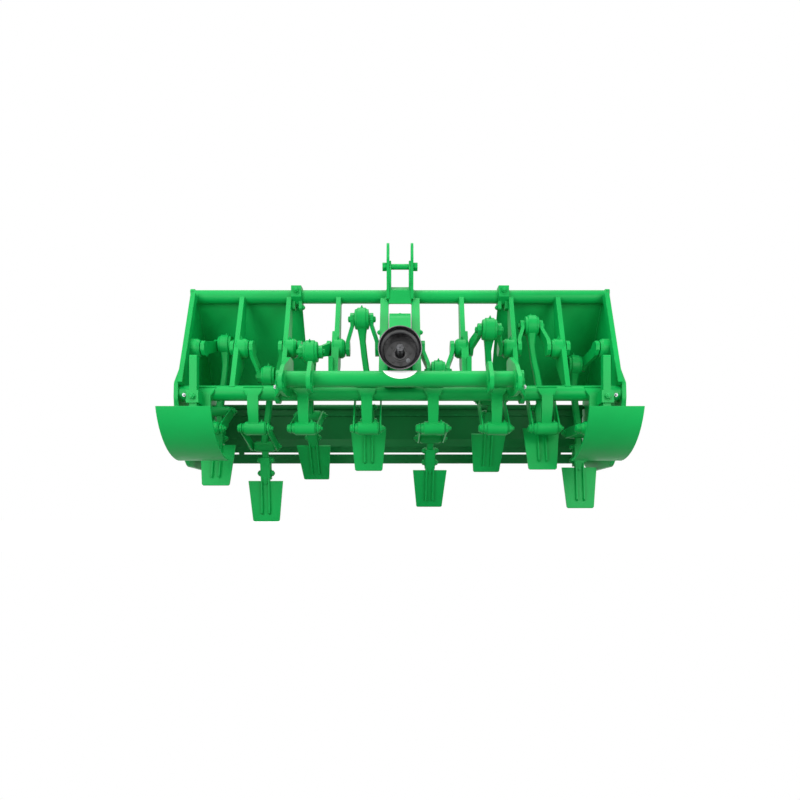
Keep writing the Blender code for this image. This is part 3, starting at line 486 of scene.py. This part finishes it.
def kneeOf(pin, pivot):
    # one arm's length from the crank pin and one rocker's length from the barrel, on the rear side
    reach = Vector((0, pivot.y - pin.y, pivot.z - pin.z))
    along = (linkage["arm"] ** 2 - linkage["rocker"] ** 2 + reach.length_squared) / (2 * reach.length)
    aside = math.sqrt(linkage["arm"] ** 2 - along ** 2)
    unit = reach.normalized()
    across = Vector((0, -unit.z, unit.y)) * aside
    start = Vector((pivot.x, pin.y, pin.z)) + unit * along
    return max(start + across, start - across, key=lambda p: p.y)


# profiles of (along, radius): domed cap on the left end of each pivot bolt
capProfile = ((-0.001, 0.0), (-0.001, 0.0178), (0.0022, 0.0178), (0.0034, 0.0166), (0.0095, 0.0160),
              (0.0125, 0.0118), (0.0140, 0.0070), (0.0145, 0.0))
# shaft seals beside each big end
sealProfile = ((-0.001, 0.0200), (-0.001, 0.0345), (0.0012, 0.0338), (0.0022, 0.0310), (0.0022, 0.0200))
# housing round the big end's bearing: a flat middle with a step down to a narrower collar each side
bigEndProfile = ((-0.0286, 0.0300), (-0.0286, 0.0392), (-0.0272, 0.0405), (-0.0182, 0.0422),
                 (-0.0176, 0.0455), (-0.0162, 0.0468), (0.0162, 0.0468), (0.0176, 0.0455),
                 (0.0182, 0.0422), (0.0272, 0.0405), (0.0286, 0.0392), (0.0286, 0.0300))
# bush that the pivot bolt turns in, with its right-hand washer
bushProfile = ((-0.0370, 0.0180), (-0.0370, 0.0262), (-0.0358, 0.0279), (0.0440, 0.0279), (0.0452, 0.0268),
               (0.0452, 0.0225), (0.0466, 0.0225), (0.0466, 0.0252), (0.0474, 0.0258), (0.0490, 0.0258),
               (0.0497, 0.0250), (0.0497, 0.0180))


def dressLinkage():
    y, z, _ = tubes["low"]
    face = Vector((linkage["rockerFace"], 0, 0))
    lean = Vector(linkage["nippleLean"])
    for n in range(1, 9):
        pin, pivot = jointAt["spade_%d_pin" % n], jointAt["rocker_%d_pivot" % n]
        knee = kneeOf(pin, pivot)
        arm, rocker = "spade_%d" % n, "rocker_%d" % n
        start = Vector((pivot.x, pin.y, pin.z))
        along = (knee - start) / linkage["arm"]
        square = Vector((0, -along.z, along.y))
        caps = bmesh.new()
        turnedShape(caps, capProfile, pivot - face, (-1, 0, 0))
        addPiece("pivot_cap_%d" % n, caps, "green_paint", rocker)
        addFastener(rocker, "pin_nut", pivot + face, (1, 0, 0))
        for side in (-1, 1):
            addFastener(rocker, "pin_nut", knee + face * side, (side, 0, 0), linkage["kneeNut"])
            addFastener("crank", "web_bolt", pin + Vector((side * linkage["webFace"], 0, 0)), (side, 0, 0))
        seals = bmesh.new()
        for side in (-1, 1):
            turnedShape(seals, sealProfile, pin + Vector((side * linkage["sealFace"], 0, 0)), (side, 0, 0))
        turnedShape(seals, bigEndProfile, pin, (1, 0, 0), linkage["bigEndSteps"])
        addPiece("pin_seal_%d" % n, seals, "green_paint", arm, sharp=linkage["sealSharp"])
        bush = bmesh.new()
        turnedShape(bush, bushProfile, pivot, (1, 0, 0), linkage["bushSteps"])
        addPiece("pivot_bush_%d" % n, bush, "green_paint", "frame")
        for s in linkage["clampAt"]:
            for side in (-1, 1):
                aside = Vector((side * linkage["padHalf"], 0, 0))
                addFastener(arm, "hex_bolt", start + along * s + square * linkage["padSquare"] + aside,
                            (side, 0, 0))
        addFastener(arm, "web_bolt", start + along * linkage["tangAt"] + square * linkage["tangSquare"],
                    -square, linkage["tangBolt"])
        addFastener(arm, "grease_nipple", pin - along * (linkage["bigEndR"] - linkage["nippleSunk"]), -along,
                    linkage["bigEndNipple"])
        aside, out = linkage["barrelNipple"]
        addFastener("frame", "grease_nipple", pivot + Vector((aside, 0, 0)) + lean * out, lean)
        turn = math.radians(linkage["barTurn"])
        meet = pivot + linkage["barrelR"] * Vector((0, math.cos(turn), math.sin(turn)))
        addBead("frame", [meet + Vector((x, 0, 0)) for x in linkage["barBead"]])
        dy, dz = linkage["flareAt"]
        addBead("frame", [(pivot.x + x, y + dy, z + dz) for x in linkage["flareBead"]])
        for side in (-1, 1):
            addBead("frame", [(pivot.x + side * x, y + linkage["cheekY"], z + dz)
                              for x, dz in linkage["cheekBead"]])
            beadRound(pivot.x + side * linkage["barX"], "low", *linkage["barArc"])


bearings = {"half": 0.010, "shift": (0.006, 0.017, 0.0175), "housingR": 0.041, "nippleSunk": 0.001,
            "nippleLean": (0, -0.5, 0.866), "arcs": (("top", 203, 292), ("low", 52, 132))}


def dressBearings():
    # welds where the upright plates sit on the tubes, and a grease nipple on each housing
    crank = jointAt["crank_turn"]
    lean = Vector(bearings["nippleLean"])
    for side in (-1, 1):
        order = [4, 3, 2, 1] if side < 0 else [5, 6, 7, 8]
        for k in range(3):
            inner, outer = (jointAt["spade_%d_pin" % order[k + step]].x for step in (0, 1))
            middle = (inner + outer) / 2
            plateX = middle + side * bearings["shift"][k]
            for face in (-1, 1):
                for arc in bearings["arcs"]:
                    beadRound(plateX + face * bearings["half"], *arc)
            reach = bearings["housingR"] - bearings["nippleSunk"]
            addFastener("frame", "grease_nipple", Vector((middle, crank.y, crank.z)) + lean * reach, lean)


topEars = {"inner": 0.046, "doubler": 0.008, "lap": 0.0002, "edge": 0.0010,
           "outline": ((0.300, 0.600), (0.340, 0.600), (0.352, 0.560), (0.352, 0.505), (0.330, 0.470),
                       (0.304, 0.470), (0.291, 0.500), (0.290, 0.560))}


def dressTopEars():
    # doubler plate beside each ear, below the cross pin
    for side, label in ((-1, "left"), (1, "right")):
        ends = [side * (topEars["inner"] - depth) for depth in (topEars["doubler"], topEars["lap"])]
        addPiece("ear_doubler_" + label, prism(topEars["outline"], ends, topEars["edge"]), "green_paint",
                 "frame")


hitch = {
    "plateArcs": (("front", 0, 360), ("low", 20, 228)),
    # lower-link ears, top-link ears and centre plates: inner x, thickness, and their beads on the tubes
    "welds": ((0.340, 0.016, (("front", 0, 360),)), (0.046, 0.012, (("top", 72, 193),)),
              (0.050, 0.014, (("top", 203, 292), ("low", 40, 120), ("front", 4, 40)))),
    "frontBolt": (0.010, 0.012, 0.86),        # clamp block: y from its face, z from the tube, size
    "lugBolt": (-0.007, 0.013, 0.8),          # clamp block: y from the tube, z from its foot, size
    "ringBolt": (0.009, 0.024, 0.014, 0.9),   # tie ring: x in from its end, y and z from the tube, size
    # bolts that draw the upright strips against the gearbox: x, y, z and size
    "stripBolts": ((0.085, 0.2125, 0.262, 0.72), (0.064, 0.2480, 0.163, 0.85)),
}


def dressHitch():
    topY, topZ, _ = tubes["top"]
    lowY, lowZ, lowR = tubes["low"]
    for side, label in ((-1, "left"), (1, "right")):
        low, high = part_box("hitch_plate_" + label)
        for x in (low[0], high[0]):
            for arc in hitch["plateArcs"]:
                beadRound(x, *arc)
        for inner, thick, arcs in hitch["welds"]:
            for x in (inner, inner + thick):
                for arc in arcs:
                    beadRound(side * x, *arc)
        # clamp block on the top tube: washer under the front bolt, and the bolt across its lugs
        low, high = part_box("tube_clamp_" + label)
        dy, dz, size = hitch["frontBolt"]
        addFastener("frame", "pin_nut", ((low[0] + high[0]) / 2, low[1] + dy, topZ + dz), (0, -1, 0), size)
        dy, dz, size = hitch["lugBolt"]
        addFastener("frame", "hex_bolt", (high[0] if side < 0 else low[0], topY + dy, low[2] + dz),
                    (-side, 0, 0), size)
        # tie ring: the bright end of its bolt
        low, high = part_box("hitch_tie_" + label)
        dx, dy, dz, size = hitch["ringBolt"]
        ringX = high[0] - dx if side > 0 else low[0] + dx
        addFastener("frame", "bright_end", (ringX, lowY - lowR - dy, lowZ + dz), (0, -1, 0), size)
        for x, y, z, size in hitch["stripBolts"]:
            addFastener("frame", "hex_bolt", (side * x, y, z), (side, 0, 0), size)


covers = {
    "cheekBolts": ((0.094, 0.107), (0.300, 0.092), (0.110, -0.148), (0.380, -0.148)), "cheekHead": 0.010,
    # sleeve that holds the skid's strut: its front bolt, its two side bolts, and the end of its lock
    "strutX": 0.828, "sleeveHalf": 0.0238, "sleeveFront": -0.0933, "sleeveZ": -0.0285,
    "sideBolts": (-0.012, 0.013), "sideBoltY": 0.070, "sideBolt": 0.72,
    "lockEnd": (0.052, 0.040, -0.012, 0.8),
    "wallInner": 0.905, "wallArcs": (("low", 40, 300), ("top", 180, 330)),
    "hoodSeam": ((0.3935, 0.448), (0.450, 0.367), (0.550, 0.218), (0.651, 0.066)), "seamIn": 0.0015,
    # upright flat bar on the side wall's inner face, from tube to tube
    "upright": ((0.3275, 0.452), (0.168, 0.029)), "uprightDeep": 0.030, "uprightWide": 0.021,
    "lap": 0.0002, "edge": 0.0012,
}


def dressSides():
    y, z, _ = tubes["low"]
    for side, label in ((-1, "left"), (1, "right")):
        low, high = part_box("cheek_plate_" + label)
        face = (low[0] + covers["cheekHead"]) if side < 0 else (high[0] - covers["cheekHead"])
        for dy, dz in covers["cheekBolts"]:
            addFastener("frame", "cheek_bolt", (face, y + dy, z + dz), (side, 0, 0))
        x = side * covers["strutX"]
        addFastener("frame", "hex_bolt", (x, y + covers["sleeveFront"], covers["sleeveZ"]), (0, -1, 0))
        for dz in covers["sideBolts"]:
            point = (x + side * covers["sleeveHalf"], y - covers["sideBoltY"], covers["sleeveZ"] + dz)
            addFastener("frame", "hex_bolt", point, (side, 0, 0), covers["sideBolt"])
        dx, dy, lockZ, size = covers["lockEnd"]
        addFastener("frame", "bright_end", (x + side * dx, y - dy, lockZ), (0, -1, 0), size)
        for arc in covers["wallArcs"]:
            beadRound(side * covers["wallInner"], *arc)
        seamX = side * (covers["wallInner"] - covers["seamIn"])
        addBead("frame", [(seamX, dy, dz) for dy, dz in covers["hoodSeam"]])
        (y0, z0), (y1, z1) = covers["upright"]
        lean = Vector((0, y1 - y0, z1 - z0)).normalized()
        back = Vector((0, -lean.z, lean.y)) * -covers["uprightDeep"]
        top, foot = Vector((0, y0, z0)), Vector((0, y1, z1))
        outline = [(c.y, c.z) for c in (top, foot, foot + back, top + back)]
        ends = [side * (covers["wallInner"] - depth) for depth in (covers["uprightWide"], covers["lap"])]
        addPiece("end_upright_" + label, prism(outline, ends, covers["edge"]), "green_paint", "frame")


gearDress = {
    # round rear cover: its place and profile of (along, radius), and its ring of bolts
    "rear": (0, 0.3865, 0.226), "coverSteps": 36, "bolts": 6, "boltRing": 0.033, "boltFace": 0.006,
    "boltSize": 0.45,
    "cover": ((-0.002, 0.0), (-0.002, 0.041), (0.0045, 0.041), (0.0060, 0.039), (0.0060, 0.016),
              (0.0110, 0.013), (0.0118, 0.0)),
    "plug": (0.0, 0.2745, 0.350), "plugSize": 0.9,
    # pads from the casing's foot to the upright plates: ends in x, y and z
    "lug": ((0.0425, 0.0498), (0.130, 0.250), (0.078, 0.138)), "edge": 0.0010,
}


def dressGearbox():
    cover = bmesh.new()
    turnedShape(cover, gearDress["cover"], gearDress["rear"], (0, 1, 0), gearDress["coverSteps"])
    addPiece("gearbox_cover", cover, "green_paint", "frame")
    _, rearY, rearZ = gearDress["rear"]
    for k in range(gearDress["bolts"]):
        turn = math.radians(360 / gearDress["bolts"] * (k + 0.5))
        point = (gearDress["boltRing"] * math.cos(turn), rearY + gearDress["boltFace"],
                 rearZ + gearDress["boltRing"] * math.sin(turn))
        addFastener("frame", "hex_bolt", point, (0, 1, 0), gearDress["boltSize"])
    addFastener("frame", "hex_bolt", gearDress["plug"], (0, 0, 1), gearDress["plugSize"])
    pads = bmesh.new()
    (x0, x1), (y0, y1), (z0, z1) = gearDress["lug"]
    for side in (-1, 1):
        for v in bmesh.ops.create_cube(pads, size=1.0)["verts"]:
            v.co = ((x0 + x1) / 2 * side + v.co.x * (x1 - x0), (y0 + y1) / 2 + v.co.y * (y1 - y0),
                    (z0 + z1) / 2 + v.co.z * (z1 - z0))
    bmesh.ops.bevel(pads, geom=list(pads.edges), offset=gearDress["edge"], segments=2, affect="EDGES")
    addPiece("gearbox_pads", pads, "green_paint", "frame")


ptoDress = {
    "z": 0.141, "bellSteps": 72, "discY": 0.0960, "discSteps": 60,
    "bolts": 8, "boltRing": 0.0415, "boltFace": 0.0022, "boltTurn": 5, "boltSize": 0.9, "brightBolt": 7,
    # splined stub: radius, tip, and the collar behind it
    "shaftR": 0.0150, "tip": 0.012, "splines": 6,
    "collarY": 0.106, "collarR": 0.0175, "collarLong": 0.0760, "collarSteps": 40,
}
# flared bell with its rolled rim and the cup inside it: radius, y
bellRows = ((0.048, 0.1117), (0.062, 0.1117), (0.0668, 0.0900), (0.0716, 0.0700), (0.0764, 0.0500),
            (0.0812, 0.0290), (0.0840, 0.0160), (0.0850, 0.0125), (0.0846, 0.0104), (0.0832, 0.0097),
            (0.0816, 0.0104), (0.0804, 0.0140), (0.0790, 0.0290), (0.0778, 0.0335), (0.0745, 0.0368),
            (0.0700, 0.0405), (0.0655, 0.0443), (0.0638, 0.0465), (0.0628, 0.0510), (0.0592, 0.0900),
            (0.0590, 0.1055), (0.0480, 0.1087))
# bolted ring at the cup's bottom: y from the disc, radius
discRows = ((0.0080, 0.0160), (-0.0050, 0.0160), (-0.0068, 0.0185), (-0.0072, 0.0235), (-0.0060, 0.0262),
            (0.0, 0.0275), (0.0006, 0.0300), (0.0006, 0.0345), (0.0022, 0.0352), (0.0022, 0.0530),
            (0.0, 0.0540), (0.0, 0.0588), (0.0080, 0.0588))
# one spline and the root beside it: degrees, share of the shaft's radius
splineRows = ((-15, 0.86), (-13, 1), (-5, 1), (5, 1), (13, 1), (15, 0.86), (24, 0.86), (36, 0.86))
# stub's rings, from the centre drilling to behind the locking groove: y from the tip, largest radius
stubRows = ((0.005, 0.0025), (0.0, 0.0032), (0.0, 0.0128), (0.0020, 0.0150), (0.0170, 0.0150),
            (0.0185, 0.0124), (0.0235, 0.0124), (0.0250, 0.0150))


def dressGuard():
    centre = Vector((0, 0, ptoDress["z"]))
    bell = bmesh.new()
    turnedShape(bell, [(y, radius) for radius, y in bellRows], centre, (0, 1, 0), ptoDress["bellSteps"])
    addPiece("shaft_guard", bell, "black_plastic", "frame", ("pto_guard",))
    disc = bmesh.new()
    turnedShape(disc, [(ptoDress["discY"] + y, radius) for y, radius in discRows], centre, (0, 1, 0),
                ptoDress["discSteps"])
    addPiece("guard_ring", disc, "black_plastic", "frame")
    for k in range(ptoDress["bolts"]):
        turn = math.tau * k / ptoDress["bolts"] + math.radians(ptoDress["boltTurn"])
        point = (ptoDress["boltRing"] * math.cos(turn), ptoDress["discY"] + ptoDress["boltFace"],
                 ptoDress["z"] + ptoDress["boltRing"] * math.sin(turn))
        kind = "bright_end" if k == ptoDress["brightBolt"] else "guard_bolt"
        addFastener("frame", kind, point, (0, -1, 0), ptoDress["boltSize"])
    shaft = bmesh.new()
    radius = ptoDress["shaftR"]
    section = [(math.radians(360 / ptoDress["splines"] * k + degrees), share)
               for k in range(ptoDress["splines"]) for degrees, share in splineRows]
    rings = []
    for y, cap in [(ptoDress["tip"] + dy, cap) for dy, cap in stubRows] + [(ptoDress["collarY"], radius)]:
        reach = [(min(radius * share, cap), turn) for turn, share in section]
        rings.append([shaft.verts.new((r * math.cos(turn), y, ptoDress["z"] + r * math.sin(turn)))
                      for r, turn in reach])
    for a, b in zip(rings, rings[1:]):
        for i in range(len(section)):
            j = (i + 1) % len(section)
            shaft.faces.new((a[i], a[j], b[j], b[i]))
    shaft.faces.new(rings[0])
    shaft.faces.new(rings[-1])
    bmesh.ops.recalc_face_normals(shaft, faces=shaft.faces)
    collarR, collarLong = ptoDress["collarR"], ptoDress["collarLong"]
    turnedShape(shaft, ((0.0, 0.0), (0.0, collarR), (collarLong, collarR), (collarLong, 0.0)),
                centre + Vector((0, ptoDress["collarY"], 0)), (0, 1, 0), ptoDress["collarSteps"])
    addPiece("splined_shaft", shaft, "bare_steel", bodyOf["pto_shaft"], ("pto_shaft",), "dark_dull")


gateDress = {
    "y": 0.665, "thick": 0.003, "half": 0.899,
    # rolled hinge edge with a stub at each end
    "rollZ": 0.034, "rollR": 0.0135, "stubR": 0.0076, "stub": 0.920, "chamfer": 0.001, "rollSteps": 20,
    # columns: z, how far behind the hinge line
    "folds": ((0.030, 0.0), (-0.003, 0.0), (-0.0055, -0.0035), (-0.0080, -0.0035), (-0.0105, 0.0015),
              (-0.1200, 0.0050), (-0.1225, 0.0040), (-0.1590, -0.0085), (-0.1615, -0.0085),
              (-0.1890, -0.0030)),
}


def dressGate():
    # pressed sheet with its folds, hung on the rolled hinge edge
    y0, half, thick = gateDress["y"], gateDress["half"], gateDress["thick"]
    outline = [(y0 + dy - thick / 2, z) for z, dy in gateDress["folds"]]
    outline += [(y0 + dy + thick / 2, z) for z, dy in reversed(gateDress["folds"])]
    sheet = prism(outline, (-half, half))
    radius, stub, stubR, cut = (gateDress[key] for key in ("rollR", "stub", "stubR", "chamfer"))
    right = ((half - cut, radius), (half, radius - cut), (half, stubR), (stub - cut, stubR),
             (stub, stubR - cut), (stub, 0.0))
    turnedShape(sheet, [(-along, r) for along, r in reversed(right)] + list(right),
                (0, y0, gateDress["rollZ"]), (1, 0, 0), gateDress["rollSteps"])
    # the sheet takes the darker copy of the enamel: painted shade
    addPiece("gate_sheet", sheet, "green_paint", "gate", ("rear_gate",), "painted_shade_green")


ovalPatch = {"halfWide": 0.067, "halfArc": 0.044, "middle": 110, "film": 0.0007, "lift": 0.0001, "rings": 8,
             "steps": 40}


def dressPatch():
    # blank white vinyl oval that wraps over the front tube; it glows faintly, painted light against the
    # guard's shadow
    y, z, radius = tubes["front"]
    patch = bmesh.new()
    centreTurn = math.radians(ovalPatch["middle"])
    steps = ovalPatch["steps"]

    def spot(x, bend, height):
        return patch.verts.new((x, y + (radius + height) * math.cos(bend),
                                z + (radius + height) * math.sin(bend)))

    def layer(height):
        rows = []
        for r in range(1, ovalPatch["rings"] + 1):
            share = r / ovalPatch["rings"]
            turns = [math.tau * k / steps for k in range(steps)]
            rows.append([spot(ovalPatch["halfWide"] * share * math.cos(turn),
                              centreTurn + ovalPatch["halfArc"] * share * math.sin(turn) / radius, height)
                         for turn in turns])
        middle = spot(0, centreTurn, height)
        for k in range(steps):
            j = (k + 1) % steps
            patch.faces.new((middle, rows[0][k], rows[0][j]))
            for a, b in zip(rows, rows[1:]):
                patch.faces.new((a[k], a[j], b[j], b[k]))
        return rows[-1]

    outer, inner = layer(ovalPatch["film"]), layer(ovalPatch["lift"])
    for k in range(steps):
        j = (k + 1) % steps
        patch.faces.new((outer[k], outer[j], inner[j], inner[k]))
    bmesh.ops.recalc_face_normals(patch, faces=patch.faces)
    addPiece("tube_patch", patch, "vinyl", "frame")


dressLinkage()
dressBearings()
dressTopEars()
dressHitch()
dressSides()
dressGearbox()
dressGuard()
dressGate()
dressPatch()
print("pieces dressed")


def plantFasteners():
    tree = makeFastenerTree()
    for (body, kind), rows in fastenersAt.items():
        base = bpy.data.meshes.new(kind)
        base.from_pydata([row[0] for row in rows], [], [])
        for label, column, form in (("aim", 1, "FLOAT_VECTOR"), ("size", 2, "FLOAT")):
            layer = base.attributes.new(label, form, "POINT")
            for item, row in zip(layer.data, rows):
                if form == "FLOAT":
                    item.value = row[column]
                else:
                    item.vector = row[column]
        sizes, slot = fastenerKinds[kind][:6], fastenerKinds[kind][6]
        inputs = dict(zip(fastenerInputs, sizes))
        inputs["Finish"] = finishes[slot]
        addPiece("%s_on_%s" % (kind, body), grow(kind, tree, base, inputs), slot, body)


def layBeads():
    tree = makeBeadTree()
    for body, paths in beadsAt.items():
        points, edges = [], []
        for path in paths:
            edges += [(len(points) + i, len(points) + i + 1) for i in range(len(path) - 1)]
            points += path
        base = bpy.data.meshes.new("weld_paths")
        base.from_pydata(points, edges, [])
        addPiece("weld_beads_" + body, grow("weld_beads", tree, base, {"Finish": finishes["green_paint"]}),
                 "green_paint", body)


plantFasteners()
layBeads()
print("fasteners and welds set")


studio = {
    "floor": "#F4F5F4", "bounce": "#7E847F",    # the floor, and the colour that it lends to undersides
    "floorGlow": 0.45, "floorRough": 0.9, "floorHalf": 9.0, "floorY": 2.0, "sky": 0.56,
    "cameraBack": 2.293, "focal": 27.0, "shift": 0.151, "lift": 0.005,
    # place, target, size and watts
    "lamps": {"key": ((-1.2, -1.9, 2.4), (0, 0.2, 0.1), 2.0, 36),
              "top": ((0.0, 0.0, 3.0), (0, 0.2, 0.0), 2.4, 60),
              "left": ((-1.5, -1.6, 0.20), (-0.3, 0.1, -0.2), 1.2, 25),
              "right": ((1.5, -1.6, 0.20), (0.3, 0.1, -0.2), 1.2, 25)},
}


def seenDirectly(tree):
    # 1 for rays from the camera, and for those that gloss or glass sends on
    path = addNode(tree, "ShaderNodeLightPath")
    both = addNode(tree, "ShaderNodeMath", {"operation": "MAXIMUM"},
                   [(0, path, "Is Camera Ray"), (1, path, "Is Glossy Ray")])
    return addNode(tree, "ShaderNodeMath", {"operation": "MAXIMUM"},
                   [(0, both, "Value"), (1, path, "Is Transmission Ray")])


def makeStage():
    bm = bmesh.new()
    bmesh.ops.create_grid(bm, x_segments=2, y_segments=2, size=studio["floorHalf"])
    bmesh.ops.translate(bm, vec=(0, studio["floorY"], groundZ), verts=bm.verts)
    mesh = bpy.data.meshes.new("studio_floor")
    bm.to_mesh(mesh)
    bm.free()
    floor = bpy.data.objects.new("studio_floor", mesh)
    bpy.context.scene.collection.objects.link(floor)
    material = bpy.data.materials.new("pale_paper")
    material.use_nodes = True
    tree = material.node_tree
    shader = tree.nodes["Principled BSDF"]
    shader.inputs["Roughness"].default_value = studio["floorRough"]
    shader.inputs["Emission Color"].default_value = shade("#FFFFFF")
    seen = seenDirectly(tree)
    mix = addNode(tree, "ShaderNodeMix", {"data_type": "RGBA"}, [("Factor", seen, "Value")])
    mix.inputs[6].default_value = shade(studio["bounce"])
    mix.inputs[7].default_value = shade(studio["floor"])
    tree.links.new(mix.outputs[2], shader.inputs["Base Color"])
    glow = addNode(tree, "ShaderNodeMath", {"operation": "MULTIPLY", 1: studio["floorGlow"]},
                   [(0, seen, "Value")])
    tree.links.new(glow.outputs["Value"], shader.inputs["Emission Strength"])
    mesh.materials.append(material)


def makeLights():
    world = bpy.data.worlds.new("studio")
    bpy.context.scene.world = world
    world.use_nodes = True
    tree = world.node_tree
    sky = tree.nodes["Background"]
    sky.inputs["Color"].default_value = (1, 1, 1, 1)
    strength = addNode(tree, "ShaderNodeMapRange", {"To Min": studio["sky"], "To Max": 1.0},
                       [("Value", seenDirectly(tree), "Value")])
    tree.links.new(strength.outputs["Result"], sky.inputs["Strength"])
    for name, (place, target, size, power) in studio["lamps"].items():
        data = bpy.data.lights.new(name, "AREA")
        data.shape = "SQUARE"
        data.size = size
        data.energy = power
        lamp = bpy.data.objects.new(name, data)
        lamp.location = place
        lamp.rotation_euler = (Vector(target) - Vector(place)).to_track_quat("-Z", "Y").to_euler()
        lamp.visible_camera = False
        bpy.context.scene.collection.objects.link(lamp)


def makeCamera():
    data = bpy.data.cameras.new("camera")
    data.lens = studio["focal"]
    data.sensor_width = 36.0
    data.sensor_fit = "HORIZONTAL"
    data.shift_y = studio["shift"]
    camera = bpy.data.objects.new("camera", data)
    camera.location = (0, -studio["cameraBack"], groundZ + studio["lift"])
    camera.rotation_euler = (math.pi / 2, 0, 0)
    bpy.context.scene.collection.objects.link(camera)
    bpy.context.scene.camera = camera


makeStage()
makeLights()
makeCamera()
bpy.context.scene.view_settings.view_transform = "Standard"
print("studio set")
